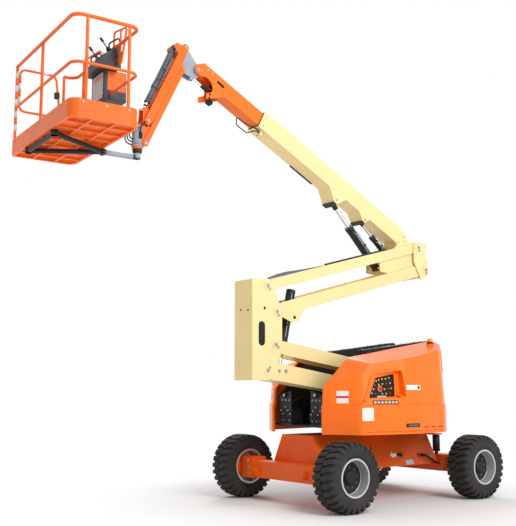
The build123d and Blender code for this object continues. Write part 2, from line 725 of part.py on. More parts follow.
def main_boom():
    inner = boom_half - boom_wall
    side = [(boom_length, boom_low), (boom_length, boom_high), (-78, boom_high, 230), (-78, -78, 76),
            (70, -78, 70), (150, boom_low, 60)]
    body = plate(along(side), -boom_half, boom_half)
    body -= plate(along([(130, boom_low + boom_wall), (130, boom_high - boom_wall),
                         (boom_length + 1, boom_high - boom_wall), (boom_length + 1, boom_low + boom_wall)]),
                  -inner, inner)
    for points, front in boom_lugs:
        body += both(plate(along(points), boom_half - 12, boom_half))
        (s0, t0), (s1, t1) = front
        run = Vector(s1 - s0, t1 - t0).normalized() * 10
        sheet = [(s0, t0), (s1, t1), (s1 + run.Y, t1 - run.X), (s0 + run.Y, t0 - run.X)]
        body += plate(along(sheet), -boom_half + 1, boom_half - 1)
    for s, t in (lift_eye_st, master_eye_st):
        body += both(rod_y((-s, t), 18, stub_from, boom_half + 4))
    body += plate(along(tip_clamp), tip_hose_y - 20, tip_hose_y + 20)
    for s, t in (tip_hose[0], tip_hose[-1]):
        body -= Pos(-tip_clamp[1][0], tip_hose_y, t) * Rot(0, 90, 0) * Cylinder(tip_hose_radius, 8)
    for s0, s1 in ((1270, 1480), (740, 880)):
        body -= plate(along([(s0, 0), (s1, 0), (s1, 20), (s0, 20)]), -45, 45)
    return body - rod_y((0, 0), pin_radius + pin_gap, -boom_half - 1, boom_half + 1)


def fly_boom():
    inner = fly_half - fly_wall
    tip_low = fly_low + fly_wall
    side = [(fly_root, fly_low), (fly_root, fly_high), (3940, fly_high, 30), (4022, 130, 40), (4022, 34, 42),
            (3915, 38, 40), (3830, 80, 50), (3735, 58, 60), (3668, -30, 50), (3745, -105, 14),
            (3715, -172, 14), (3490, fly_low)]
    body = plate(along(side), -fly_half, fly_half)
    body -= plate(along([(fly_root - 1, tip_low), (fly_root - 1, fly_high - fly_wall),
                         (4100, fly_high - fly_wall), (4100, tip_low)]), -inner, inner)
    body -= plate(along([(3560, -200), (4100, -200), (4100, tip_low + 1), (3560, tip_low + 1)]), -inner, inner)
    body -= plate(along([(3480, -200), (3561, -200), (3561, fly_low), (3480, fly_low)]), -inner, inner)
    body -= plate(along([(3830, 100), (4100, 100), (4100, 300), (3830, 300)]), -inner, inner)
    slot = [(3562, 106, 15), (3685, 112, 15), (3688, 150, 15), (3565, 146, 15)]
    body -= both(plate(along(slot), inner - 1, fly_half + 1))
    body += rod_y((-slave_foot_st[0], slave_foot_st[1]), 14, -fly_half, fly_half)
    body += both(rod_y((-knuckle_pin_st[0], knuckle_pin_st[1]), 45, fly_half, fly_half + 8))
    body += rod_y((-knuckle_pin_st[0], knuckle_pin_st[1]), 22, -fly_half - 12, fly_half + 12)
    return body


nodes["main_boom"] = placed(main_boom(), boom_pivot, boom_angle)
nodes["fly_boom"] = placed(fly_boom(), boom_pivot, boom_angle)
route = [(-s, tip_hose_y, t) for s, t in tip_hose]
nodes["tip_hose"] = placed(tube(route, 30, tip_hose_radius), boom_pivot, boom_angle)
nodes["lift_barrel"], nodes["lift_rod"] = ram(lift_foot, lift_eye, 55, 740, 30, 36, 50, 24, 212)
nodes["master_barrel"], nodes["master_rod"] = ram(master_foot, master_eye, 36, 430, 20, 28, 40, 18, 94)
nodes["slave_barrel"], nodes["slave_rod"] = ram(slave_foot, slave_eye, 26, 210, 13, 24, 30, 14, 54)


# jib

def knuckle_bracket():
    """Levelled bracket between the fly boom and the jib."""
    k, j1, j2 = knuckle_pin, jib_pin, jib_pin_2
    side = [(k[0] + 42, k[1] - 30, 30), (k[0] + 42, k[1] + 40, 30), (j1[0] + 45, j1[1] + 20, 30),
            (j1[0] - 5, j1[1] + 45, 40), (j1[0] - 50, j1[1] + 10, 40), (j2[0] - 42, j2[1] - 10, 35),
            (j2[0] + 20, j2[1] - 45, 40), (slave_eye[0] - 30, slave_eye[1] - 34, 25),
            (slave_eye[0] + 30, slave_eye[1] - 34, 25)]
    body = both(plate(side, knuckle_in, knuckle_out))
    body += rod_y(k, 42, -fly_half + fly_wall + 6, fly_half - fly_wall - 6)
    body -= rod_y(k, 22 + pin_gap, -fly_half, fly_half)
    body += rod_y(j1, 36, -knuckle_out - 20, knuckle_out + 20)
    body += rod_y(j1, jib_pin_radius, -jib_arm_out - 8, jib_arm_out + 8)
    body += rod_y(j2, jib_pin_radius - 2, -jib_link_out - 3, jib_link_out + 3)
    return body


def jib_end_bracket():
    """Levelled bracket at the end of the jib, with the rotator housing."""
    p1, p2, r = jib_end_pin, jib_end_pin_2, rotator
    side = [(p1[0] + 42, p1[1] - 30, 30), (p1[0] + 42, p1[1] + 30, 30), (jib_eye[0] + 32, jib_eye[1] + 10, 20),
            (jib_eye[0] - 32, jib_eye[1] + 10, 20), (p1[0] - 50, p1[1] + 20, 30), (p2[0] - 40, p2[1] - 30, 30),
            (p2[0] + 40, p2[1] - 40, 30), (p2[0] + 45, p2[1] + 20, 30)]
    body = both(plate(side, knuckle_in, knuckle_out))
    body += block((p2[0] - 40, p2[0] - 28), (-knuckle_in, knuckle_in), (r[1] - 100, r[1] + 120))
    body += rod_z(r[0], 0, rotator_radius, r[1] - rotator_height / 2, r[1] + rotator_height / 2)
    body += rod_y(p1, 36, -knuckle_out - 20, knuckle_out + 20)
    body += rod_y(p1, jib_pin_radius, -jib_arm_out - 8, jib_arm_out + 8)
    body += rod_y(p2, jib_pin_radius - 2, -jib_link_out - 3, jib_link_out + 3)
    return body


arm = link([(-45, -45, 44), (120, -58, 60), (jib_length - 120, -58, 60), (jib_length + 45, -45, 44),
            (jib_length + 45, 42, 42), (-45, 42, 42)],
           jib_arm_in, jib_arm_out, [(110, 34, jib_length - 200, 34, web)], [(0, 0), (jib_length, 0)],
           jib_pin_radius + pin_gap)
foot_lug = [(0, 0, 0), (20, 130, 28), (85, 130, 28), (130, 36, 0)]
arm += both(plate(along(foot_lug), jib_arm_in, jib_arm_out))
arm -= both(rod_y((0, 0), jib_pin_radius + pin_gap, -jib_arm_out - 1, jib_arm_out + 1))
link_2 = link([(-38, -34, 34), (jib_length + 38, -34, 34), (jib_length + 38, 34, 33), (-38, 34, 33)],
              jib_link_in, jib_link_out, [(150, -34, jib_length - 150, -34, web)],
              [(0, 0), (jib_length, 0)], jib_pin_radius - 2 + pin_gap)
nodes["jib_knuckle"] = knuckle_bracket()
nodes["jib_arm"] = placed(arm, jib_pin, jib_angle)
nodes["jib_arm"] += rod_y(jib_foot, 14, -jib_arm_out, jib_arm_out)
nodes["jib_link"] = placed(link_2, jib_pin_2, jib_angle)
nodes["jib_end"] = jib_end_bracket()
nodes["jib_barrel"], nodes["jib_rod"] = ram(jib_foot, jib_eye, 34, 620, 18, 28, 26, 14, 14)


# platform

def platform_arm():
    """Arm under the rotator, with the tubes that carry the floor."""
    r = rotator
    low = r[1] - rotator_height / 2
    body = rod_z(r[0], 0, rotator_radius - 6, low - 40, low - 6)
    x = platform_centre[0]
    z = platform_bottom - 30
    body += rod_z(r[0], 0, 38, z - 18, low - 39)
    body += tube([(r[0], 0, z), (x + 345, 0, z)], 0, 28)
    body += both(tube([(x + 365, 12, z), (x - 325, 405, z)], 0, 27))
    body += tube([(x - 325, -405, z), (x - 325, 405, z)], 0, 27)
    return body + both(rod_z(x - 325, 405, 38, z - 28, z + 27))


half_x = platform_width / 2
half_y = platform_length / 2
stand = Pos(platform_centre[0], platform_centre[1], platform_bottom) * Rot(0, 0, platform_turn)


def deck(inset, z0, z1):
    """Plan of the deck with its rounded corners."""
    x, y, r = half_x - inset, half_y - inset, deck_corner - inset
    return slab([(-x, -y, r), (x, -y, r), (x, y, r), (-x, y, 12)], z0, z1)


def rail(z, radius, stop_x):
    """Rail from the hinge post round three corners to the latch post."""
    x, y = half_x - rail_tube, half_y - rail_tube
    return tube([(-x, y, z), (-x, -y, z), (x, -y, z), (x, y, z), (stop_x, y, z)], rail_corner, radius)


ribs_y = (-690, -460, -230, 0, 230, 460, 690)
ribs = [block((-half_x + 20, half_x - 20), (y - 12, y + 12), (4, 31)) for y in ribs_y]
ribs += [block((x - 12, x + 12), (-half_y + 20, half_y - 20), (4, 31)) for x in (-130, 130)]
floor = deck(0, 0, 38) - deck(30, -1, 30) + [rib & deck(20, 3, 32) for rib in ribs]
toe = deck(0, 38, toe_height) - deck(4, 37, toe_height + 1)
nodes["platform_floor"] = stand * floor
nodes["toe_boards"] = stand * toe

side_x = half_x - post_inset
end_y = half_y - post_inset
top_z = rail_height - rail_tube
case = [(205, box_z[1]), (205, 950, 12), (395, 1140, 12), (430, 1140, 12), (430, box_z[1])]
console = plate(case, *console_y)
manual_box = block(box_x, box_y, box_z)
places = ((-side_x, end_y), (-side_x, 20), (-218, -end_y), (246, -end_y), (side_x, 20), (side_x, 628),
          (latch_x, end_y))
posts = [rod_z(x, y, 17, 38, top_z) for x, y in places]
top_rail = rail(top_z, rail_tube, latch_x) - console
mid_rail = rail(mid_rail_height, 16, latch_x) - manual_box
nodes["rail_posts"] = stand * (Compound(posts) - top_rail - mid_rail - console - manual_box)
nodes["top_rail"] = stand * top_rail
nodes["mid_rail"] = stand * mid_rail

bar = tube([(side_x, 628, top_z), (side_x, 628, 1225), (side_x, 122, 1180), (side_x, 122, 1130)], 50, 13)
hoop_route = [(guard_x, -170, 1300), (guard_x, -510, 1240), (guard_x, -370, 850), (guard_x, -170, 1020)]
hoop = tube(hoop_route, 40, 12, True)
hoop += rod_z(guard_x, -350, 11, 860, 1262)
hoop += block((guard_x - 5, guard_x + 5), (-430, -240), (950, 1000))
nodes["console_guards"] = stand * (Compound([bar, hoop]) - top_rail - console)
turned_arm = Rot(0, 0, platform_turn) * Pos(-rotator[0], 0, 0) * platform_arm()
nodes["platform_arm"] = Pos(rotator[0], 0, 0) * turned_arm

gate_y = half_y - rail_tube
gate_hinge = (-322, gate_y)
gate_left = gate_hinge[0]
gate_loop = [(gate_left, gate_y, gate_top), (112, gate_y, gate_top), (180, gate_y, gate_foot),
             (gate_left, gate_y, gate_foot)]
nodes["gate"] = stand * tube(gate_loop, 70, gate_tube, True)
nodes["console"] = stand * (console + manual_box)


# everything moves so that the origin is under the middle of the footprint
boxes = [shape.bounding_box() for shape in nodes.values()]
centre_x = (min(b.min.X for b in boxes) + max(b.max.X for b in boxes)) / 2
centre_y = (min(b.min.Y for b in boxes) + max(b.max.Y for b in boxes)) / 2
ground = min(b.min.Z for b in boxes)

os.makedirs("parts", exist_ok=True)
for name, shape in nodes.items():
    export_step(Pos(-centre_x, -centre_y, -ground) * shape, f"parts/{name}.step")
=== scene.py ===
import bpy
import bmesh
from math import cos, hypot, pi, radians, sin, tau
from mathutils import Matrix, Vector


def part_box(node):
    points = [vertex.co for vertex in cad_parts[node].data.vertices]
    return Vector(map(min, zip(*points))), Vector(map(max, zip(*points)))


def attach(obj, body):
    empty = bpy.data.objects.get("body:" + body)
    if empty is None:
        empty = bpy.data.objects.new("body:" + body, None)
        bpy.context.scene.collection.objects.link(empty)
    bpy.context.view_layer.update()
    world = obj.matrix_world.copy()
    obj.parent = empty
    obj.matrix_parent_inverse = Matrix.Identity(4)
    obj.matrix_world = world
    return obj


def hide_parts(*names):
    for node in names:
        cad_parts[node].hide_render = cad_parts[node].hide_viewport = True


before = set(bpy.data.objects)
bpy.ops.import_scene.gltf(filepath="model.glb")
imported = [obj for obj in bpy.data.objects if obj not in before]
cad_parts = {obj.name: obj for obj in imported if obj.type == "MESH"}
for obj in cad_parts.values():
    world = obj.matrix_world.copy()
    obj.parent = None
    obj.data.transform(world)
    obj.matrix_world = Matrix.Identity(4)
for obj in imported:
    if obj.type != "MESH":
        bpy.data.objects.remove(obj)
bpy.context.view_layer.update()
print("frame loaded:", len(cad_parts), "nodes")

# finishes: clouded and grained by noise on Object coordinates, and dusted where a dust colour is given
usualLook = {"shade": 0.86, "light": 1.05, "metal": 0.0, "coat": 0.0, "coatRough": 0.08, "specular": 0.22,
             "cloudScale": 2.2, "dustScale": 9.0, "grainScale": 60.0, "bumpScale": 160.0, "bump": 0.0004,
             "bumpStrength": 0.5, "smoother": 0.05, "rougher": 0.07}
cloudStops = (0.30, 0.52, 0.75)  # where the shaded, plain and light tones sit
dustStops = (0.52, 0.78)
grainStops = (0.3, 0.7)
looks = {
    "liftOrange": {"color": (0.86, 0.145, 0.008), "rough": 0.38, "coat": 0.12, "dust": (0.50, 0.20, 0.06),
                   "dustAmount": 0.12},
    "hoodOrange": {"color": (1.00, 0.172, 0.004), "rough": 0.34, "coat": 0.22, "light": 1.03, "shade": 0.93,
                   "cloudScale": 1.4},
    "chassisOrange": {"color": (0.78, 0.100, 0.004), "rough": 0.42, "coat": 0.08, "dust": (0.46, 0.17, 0.05),
                      "dustAmount": 0.18},
    "flyOrange": {"color": (0.90, 0.170, 0.012), "rough": 0.38, "coat": 0.12},
    "railOrange": {"color": (0.86, 0.140, 0.010), "rough": 0.38, "coat": 0.10, "dust": (0.60, 0.22, 0.08),
                   "dustAmount": 0.08},
    "consoleGrey": {"color": (0.050, 0.054, 0.064), "rough": 0.45, "dust": (0.12, 0.12, 0.12),
                    "dustAmount": 0.18},
    "tapeWhite": {"color": (0.70, 0.66, 0.64), "rough": 0.5},
    "lowerCream": {"color": (0.80, 0.62, 0.30), "rough": 0.45},
    "boltSteel": {"color": (0.44, 0.43, 0.42), "rough": 0.38, "metal": 0.7},
    "signGrey": {"color": (0.52, 0.52, 0.55), "rough": 0.45},
    "boomCream": {"color": (0.88, 0.69, 0.335), "rough": 0.42, "coat": 0.2, "shade": 0.94, "light": 1.03,
                  "dust": (0.50, 0.42, 0.27), "dustAmount": 0.12},
    "rimSilver": {"color": (0.56, 0.57, 0.58), "rough": 0.34, "metal": 0.55, "bump": 0.0005},
    "satinBlack": {"color": (0.020, 0.020, 0.022), "rough": 0.42, "light": 1.5, "dust": (0.07, 0.06, 0.05),
                   "dustAmount": 0.35},
    "slateGrey": {"color": (0.125, 0.135, 0.160), "rough": 0.45, "dust": (0.24, 0.23, 0.22),
                  "dustAmount": 0.18},
    "paleGrey": {"color": (0.34, 0.39, 0.46), "rough": 0.40},
    "tyreRubber": {"color": (0.030, 0.028, 0.026), "rough": 0.74, "light": 1.5, "dust": (0.085, 0.072, 0.060),
                   "dustAmount": 0.45},
    "chromeRod": {"color": (0.72, 0.73, 0.75), "rough": 0.14, "metal": 1.0, "shade": 0.95},
    "amberLens": {"color": (0.95, 0.33, 0.02), "rough": 0.18, "coat": 0.8},
    "rubberHose": {"color": (0.016, 0.016, 0.017), "rough": 0.55},
    "signWhite": {"color": (0.80, 0.79, 0.77), "rough": 0.45},
    "signRed": {"color": (0.62, 0.02, 0.015), "rough": 0.40},
    "signYellow": {"color": (0.85, 0.55, 0.04), "rough": 0.40},
    "matteBlack": {"color": (0.014, 0.014, 0.015), "rough": 0.62, "light": 1.6},
}


def noiseAt(tree, place, scale, detail=3.0, roughness=0.55):
    noise = tree.nodes.new("ShaderNodeTexNoise")
    noise.inputs["Scale"].default_value = scale
    noise.inputs["Detail"].default_value = detail
    noise.inputs["Roughness"].default_value = roughness
    tree.links.new(place.outputs["Object"], noise.inputs["Vector"])
    return noise.outputs["Fac"]


def rampOf(tree, fac, stops):
    ramp = tree.nodes.new("ShaderNodeValToRGB")
    elements = ramp.color_ramp.elements
    elements[0].position = stops[0][0]
    elements[0].color = (*stops[0][1], 1)
    elements[1].position = stops[-1][0]
    elements[1].color = (*stops[-1][1], 1)
    for position, color in stops[1:-1]:
        elements.new(position).color = (*color, 1)
    tree.links.new(fac, ramp.inputs["Fac"])
    return ramp.outputs["Color"]


def spread(tree, fac, low, high):
    node = tree.nodes.new("ShaderNodeMapRange")
    node.inputs["From Min"].default_value = grainStops[0]
    node.inputs["From Max"].default_value = grainStops[1]
    node.inputs["To Min"].default_value = low
    node.inputs["To Max"].default_value = high
    tree.links.new(fac, node.inputs["Value"])
    return node.outputs["Result"]


def mixColors(tree, amount, first, second):
    mix = tree.nodes.new("ShaderNodeMix")
    mix.data_type = "RGBA"
    sockets = {socket.identifier: socket for socket in mix.inputs}
    tree.links.new(amount, sockets["Factor_Float"])
    for key, color in (("A_Color", first), ("B_Color", second)):
        if isinstance(color, tuple):
            sockets[key].default_value = (*color, 1)
        else:
            tree.links.new(color, sockets[key])
    return next(socket for socket in mix.outputs if socket.identifier == "Result_Color")


def bumpFrom(tree, shader, height, distance, strength):
    bump = tree.nodes.new("ShaderNodeBump")
    bump.inputs["Distance"].default_value = distance
    bump.inputs["Strength"].default_value = strength
    tree.links.new(height, bump.inputs["Height"])
    tree.links.new(bump.outputs["Normal"], shader.inputs["Normal"])


def paint(name, look):
    look = {**usualLook, **look}
    material = bpy.data.materials.new(name)
    material.use_nodes = True
    tree = material.node_tree
    shader = tree.nodes["Principled BSDF"]
    place = tree.nodes.new("ShaderNodeTexCoord")
    base = look["color"]
    shade = tuple(c * look["shade"] for c in base)
    light = tuple(min(1.0, c * look["light"]) for c in base)
    cloud = noiseAt(tree, place, look["cloudScale"], 4.0)
    color = rampOf(tree, cloud, list(zip(cloudStops, (shade, base, light))))
    if "dust" in look:
        patches = noiseAt(tree, place, look["dustScale"], 6.0, 0.7)
        amount = tree.nodes.new("ShaderNodeMapRange")
        amount.inputs["From Min"].default_value = dustStops[0]
        amount.inputs["From Max"].default_value = dustStops[1]
        amount.inputs["To Max"].default_value = look["dustAmount"]
        tree.links.new(patches, amount.inputs["Value"])
        color = mixColors(tree, amount.outputs["Result"], color, look["dust"])
    tree.links.new(color, shader.inputs["Base Color"])
    grain = noiseAt(tree, place, look["grainScale"])
    rough = spread(tree, grain, look["rough"] - look["smoother"], look["rough"] + look["rougher"])
    tree.links.new(rough, shader.inputs["Roughness"])
    shader.inputs["Metallic"].default_value = look["metal"]
    shader.inputs["Coat Weight"].default_value = look["coat"]
    shader.inputs["Coat Roughness"].default_value = look["coatRough"]
    shader.inputs["Specular IOR Level"].default_value = look["specular"]
    height = noiseAt(tree, place, look["bumpScale"], 2.0)
    bumpFrom(tree, shader, height, look["bump"], look["bumpStrength"])
    return material


finish = {name: paint(name, look) for name, look in looks.items()}

nodeFinish = {
    "chassis_frame": "chassisOrange", "rear_axle": "chassisOrange", "front_axle": "chassisOrange",
    "steer_cylinder": "satinBlack", "steer_rod": "chromeRod", "knuckle_left": "satinBlack",
    "knuckle_right": "satinBlack", "turntable_base": "satinBlack", "counterweight": "liftOrange",
    "hood_right": "hoodOrange", "hood_left": "hoodOrange", "engine_block": "slateGrey",
    "fuel_tank": "satinBlack", "control_panel": "matteBlack", "compartment_cover": "matteBlack",
    "beacon": "amberLens", "lockout_cylinders": "satinBlack", "tower_barrel": "satinBlack",
    "lift_barrel": "satinBlack", "master_barrel": "satinBlack", "slave_barrel": "satinBlack",
    "jib_barrel": "slateGrey", "jib_knuckle": "paleGrey", "fly_boom": "flyOrange", "jib_arm": "liftOrange",
    "jib_link": "liftOrange", "jib_end": "liftOrange", "platform_arm": "satinBlack", "console": "consoleGrey",
    "tip_hose": "rubberHose", "wheel_hose": "rubberHose",
}
familyFinish = (("tyre", "tyreRubber"), ("rim", "rimSilver"), ("platform", "railOrange"),
                ("toe", "railOrange"),
                ("rail", "railOrange"), ("top", "railOrange"), ("mid", "railOrange"), ("gate", "railOrange"),
                ("console", "railOrange"))


def finishFor(name):
    if name in nodeFinish:
        return nodeFinish[name]
    for start, chosen in familyFinish:
        if name.startswith(start):
            return chosen
    return "chromeRod" if name.endswith("_rod") else "boomCream"


for name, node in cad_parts.items():
    node.data.materials.clear()
    node.data.materials.append(finish[finishFor(name)])
print("finishes given to the frame")

# the machine's own X = 0 lies midway between its axles
def boxMiddle(name):
    low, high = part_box(name)
    return (Vector(low) + Vector(high)) / 2


axleMiddle = (boxMiddle("rim_rear_left") + boxMiddle("rim_front_left")) / 2
shift = Vector((axleMiddle.x, 0, 0))
machine = Matrix.Translation(shift)
pivots = {
    "turret1": (1.090, 1.567), "turret2": (0.964, 1.247), "lower1": (-1.5569, 1.9673),
    "lower2": (-1.6829, 1.6473),
    "upper1": (-1.6810, 2.6890), "upper2": (-1.5340, 2.3740), "riser1": (1.0860, 3.4434),
    "riser2": (1.2330, 3.1284),
    "boom": (0.8360, 3.4164), "liftFoot": (0.4080, 3.1014), "liftEye": (-0.4392, 3.9520),
    "masterFoot": (0.6560, 3.2664), "masterEye": (0.0918, 3.7393), "knuckle": (-2.6834, 5.2680),
    "slaveFoot": (-2.3872, 5.0198), "towerTrunnion": (-1.2310, 2.3190), "towerEye": (-1.3749, 1.6453),
    "jib1": (-2.8684, 5.5080), "jib2": (-2.8834, 5.2460), "jibEnd1": (-3.3633, 4.4932),
    "jibEnd2": (-3.3783, 4.2312),
    "jibFoot": (-2.9802, 5.5069), "jibEye": (-3.3733, 4.6582), "rotator": (-3.4483, 4.3032),
}


def member(pivot, angle, forward=False):
    turn = radians(angle)
    run = cos(turn) if forward else -cos(turn)
    rise = -sin(turn) if forward else sin(turn)
    place = Matrix(((run, 0, rise, pivot[0]), (0, 1, 0, 0), (sin(turn), 0, cos(turn), pivot[1]),
                    (0, 0, 0, 1)))
    return machine @ place


def ramFrame(foot, eye):
    run = Vector((eye[0] - foot[0], 0, eye[1] - foot[1]))
    return machine @ Matrix.Translation((foot[0], 0, foot[1])) @ run.to_track_quat("Z",
                                                                                   "Y").to_matrix().to_4x4()


tilt = {"boom": 26.64, "upperLink": 15.25}  # degrees above level
stand = {"place": (-4.261, -0.009, 4.091), "turn": -4}  # the platform's middle, and its turn in degrees
standTurn = Matrix.Rotation(radians(stand["turn"]), 4, "Z")
boomPlace = member(pivots["boom"], tilt["boom"])
upperPlace = member(pivots["upper1"], tilt["upperLink"], True)
standPlace = machine @ Matrix.Translation(stand["place"]) @ standTurn


# mesh helpers: each adds closed forms to one mesh, in the coordinates of the place given at its end
def addFaces(mesh, verts, paintIndex, smooth=False):
    for face in {face for vert in verts for face in vert.link_faces}:
        face.material_index = paintIndex
        face.smooth = smooth and len(face.verts) == 4


def addBox(mesh, low, high, paintIndex=0, bevel=0.0):
    middle = [(a + b) / 2 for a, b in zip(low, high)]
    size = [abs(b - a) for a, b in zip(low, high)]
    place = Matrix.Translation(middle) @ Matrix.Diagonal((*size, 1))
    verts = bmesh.ops.create_cube(mesh, size=1, matrix=place)["verts"]
    if bevel:
        edges = list({edge for vert in verts for edge in vert.link_edges})
        verts = bmesh.ops.bevel(mesh, geom=edges, offset=bevel, segments=2, affect="EDGES")["verts"]
    addFaces(mesh, verts, paintIndex)


def addRod(mesh, start, end, radius, paintIndex=0, sides=24, endRadius=None):
    start, end = Vector(start), Vector(end)
    run = end - start
    place = Matrix.Translation((start + end) / 2) @ run.to_track_quat("Z", "Y").to_matrix().to_4x4()
    last = radius if endRadius is None else endRadius
    verts = bmesh.ops.create_cone(mesh, cap_ends=True, segments=sides, radius1=radius, radius2=last,
                                  depth=run.length, matrix=place)["verts"]
    addFaces(mesh, verts, paintIndex, sides > 8)


def addPrism(mesh, points, low, high, paintIndex=0):
    first = [mesh.verts.new((x, low, z)) for x, z in points]
    last = [mesh.verts.new((x, high, z)) for x, z in points]
    mesh.faces.new(first)
    mesh.faces.new(last[::-1])
    for i in range(len(points)):
        j = (i + 1) % len(points)
        mesh.faces.new((first[i], last[i], last[j], first[j]))
    addFaces(mesh, first + last, paintIndex)


def addSpin(mesh, profile, place, paintIndex=0, sides=48):
    rings = []
    for radius, height in profile:
        ring = [mesh.verts.new(place @ Vector((radius * cos(tau * i / sides), radius * sin(tau * i / sides),
                                               height)))
                for i in range(sides)]
        rings.append(ring)
    for first, last in zip(rings, rings[1:]):
        for i in range(sides):
            j = (i + 1) % sides
            mesh.faces.new((first[i], first[j], last[j], last[i]))
    mesh.faces.new(rings[0][::-1])
    mesh.faces.new(rings[-1])
    addFaces(mesh, [vert for ring in rings for vert in ring], paintIndex, True)


def rounded(points, bend, steps=6):
    points = [Vector(point) for point in points]
    path = [points[0]]
    for before, corner, after in zip(points, points[1:], points[2:]):
        back, ahead = before - corner, after - corner
        reach = min(bend, back.length * 0.48, ahead.length * 0.48)
        start, end = corner + back.normalized() * reach, corner + ahead.normalized() * reach
        for i in range(steps + 1):
            t = i / steps
            path.append(start * (1 - t) ** 2 + corner * 2 * t * (1 - t) + end * t ** 2)
    return path + [points[-1]]


def addTube(mesh, points, radius, paintIndex=0, sides=12):
    side = None
    rings = []
    for i, point in enumerate(points):
        ahead = points[min(i + 1, len(points) - 1)] - points[max(i - 1, 0)]
        ahead.normalize()
        if side is None:
            side = ahead.orthogonal().normalized()
        side = (side - ahead * side.dot(ahead)).normalized()
        other = ahead.cross(side)
        ring = []
        for k in range(sides):
            turn = tau * k / sides
            ring.append(mesh.verts.new(point + radius * (cos(turn) * side + sin(turn) * other)))
        rings.append(ring)
    for first, last in zip(rings, rings[1:]):
        for k in range(sides):
            m = (k + 1) % sides
            mesh.faces.new((first[k], first[m], last[m], last[k]))
    mesh.faces.new(rings[0][::-1])
    mesh.faces.new(rings[-1])
    addFaces(mesh, [vert for ring in rings for vert in ring], paintIndex, True)


bolt = {"washer": 0.003, "washerWide": 1.5, "headTall": 0.8}


def addBolt(mesh, place, outward, radius=0.012, paintIndex=0):
    place, outward = Vector(place), Vector(outward)
    seat = place + outward * bolt["washer"]
    top = place + outward * (bolt["washer"] + radius * bolt["headTall"])
    addRod(mesh, place, seat, radius * bolt["washerWide"], paintIndex, 16)
    addRod(mesh, seat, top, radius, paintIndex, 6)


def endPiece(name, mesh, body, names, place=machine):
    bmesh.ops.transform(mesh, matrix=place, verts=mesh.verts)
    bmesh.ops.recalc_face_normals(mesh, faces=mesh.faces)
    data = bpy.data.meshes.new(name)
    mesh.to_mesh(data)
    mesh.free()
    for look in names:
        data.materials.append(finish[look])
    piece = bpy.data.objects.new(name, data)
    bpy.context.scene.collection.objects.link(piece)
    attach(piece, body)
    return piece


# pin ends: a cap with its dimple, and a round keeper with one bolt
# each pin has its pivot, half its length, its radius and the angle that its keeper stands at
pinSets = {
    "turretPinCaps": {"body": "turntable",
                      "pins": (("turret1", 0.204, 0.028, 200), ("turret2", 0.204, 0.028, 160))},
    "uprightPinCaps": {"body": "upright",
                       "pins": (("lower1", 0.197, 0.028, -40), ("lower2", 0.197, 0.028, 50),
                                                   ("upper1", 0.197, 0.028, -50),
                                                   ("upper2", 0.197, 0.028, -60))},
    "riserPinCaps": {"body": "riser", "pins": (("riser1", 0.197, 0.028, -60), ("riser2", 0.197, 0.028, -75),
                                               ("boom", 0.148, 0.028, 190))},
    "boomPinCaps": {"body": "main_boom",
                    "pins": (("liftEye", 0.124, 0.018, 30), ("masterEye", 0.124, 0.018, 30))},
    "flyPinCaps": {"body": "fly_boom", "pins": (("knuckle", 0.107, 0.022, 200),)},
    "jibPinCaps": {"body": "jib_knuckle", "pins": (("jib1", 0.100, 0.020, 250), ("jib2", 0.075, 0.018, 60))},
    "jibEndPinCaps": {"body": "jib_end",
                      "pins": (("jibEnd1", 0.100, 0.020, 60), ("jibEnd2", 0.075, 0.018, 60))},
}
# shares are of a cap's radius, and only pins longer than keptFrom have a keeper
pinCap = {"thick": 0.004, "taper": 0.86, "dimple": 0.3, "dimpleTop": 0.0055, "keptFrom": 0.14}
keeper = {"away": 1.75, "sunk": 0.006, "thick": 0.005, "wide": 0.62, "bolt": 0.32}
for name, pinSet in pinSets.items():
    mesh = bmesh.new()
    for pivot, half, radius, angle in pinSet["pins"]:
        x, z = pivots[pivot]
        reach = radius * keeper["away"]
        aside = Vector((cos(radians(angle)), 0, sin(radians(angle))))
        for side in (-1, 1):
            face = Vector((x, side * half, z))
            outward = Vector((0, side, 0))
            top = face + outward * pinCap["thick"]
            addRod(mesh, face, top, radius, 0, 32, radius * pinCap["taper"])
            addRod(mesh, top, face + outward * pinCap["dimpleTop"], radius * pinCap["dimple"], 1, 16)
            if half > pinCap["keptFrom"]:
                foot = face - outward * keeper["sunk"] + aside * reach
                addRod(mesh, foot, foot + outward * keeper["thick"], radius * keeper["wide"], 0, 20)
                addBolt(mesh, foot + outward * keeper["thick"], outward, radius * keeper["bolt"], 0)
    endPiece(name, mesh, pinSet["body"], ("boltSteel", "matteBlack"))
print("pin caps placed")

# upright, links and tower cylinder
mesh = bmesh.new()
for y, z in ((0.050, 2.391), (-0.094, 2.380)):
    addRod(mesh, (-1.917, y, z), (-1.9195, y, z), 0.013, 0, 20)
for side in (-1, 1):
    addRod(mesh, (-1.728, side * 0.1675, 2.409), (-1.728, side * 0.1845, 2.409), 0.026, 1, 28)
    addRod(mesh, (-1.728, side * 0.184, 2.409), (-1.728, side * 0.1853, 2.409), 0.018, 0, 24)
slot = {"left": -1.822, "right": -1.717, "low": 1.945, "high": 2.245, "round": 0.049,
        "inner": 0.1685, "outer": 0.1700}
bend = slot["round"]
outline = []
for x, z, start in ((slot["right"] - bend, slot["high"] - bend, 0),
                    (slot["left"] + bend, slot["high"] - bend, 90),
                    (slot["left"] + bend, slot["low"] + bend, 180),
                    (slot["right"] - bend, slot["low"] + bend, 270)):
    for step in range(0, 91, 15):
        turn = radians(start + step)
        outline.append((x + bend * cos(turn), z + bend * sin(turn)))
addPrism(mesh, outline, slot["inner"], slot["outer"], 0)
addPrism(mesh, outline, -slot["outer"], -slot["inner"], 0)
endPiece("uprightDetails", mesh, "upright", ("matteBlack", "boomCream"))

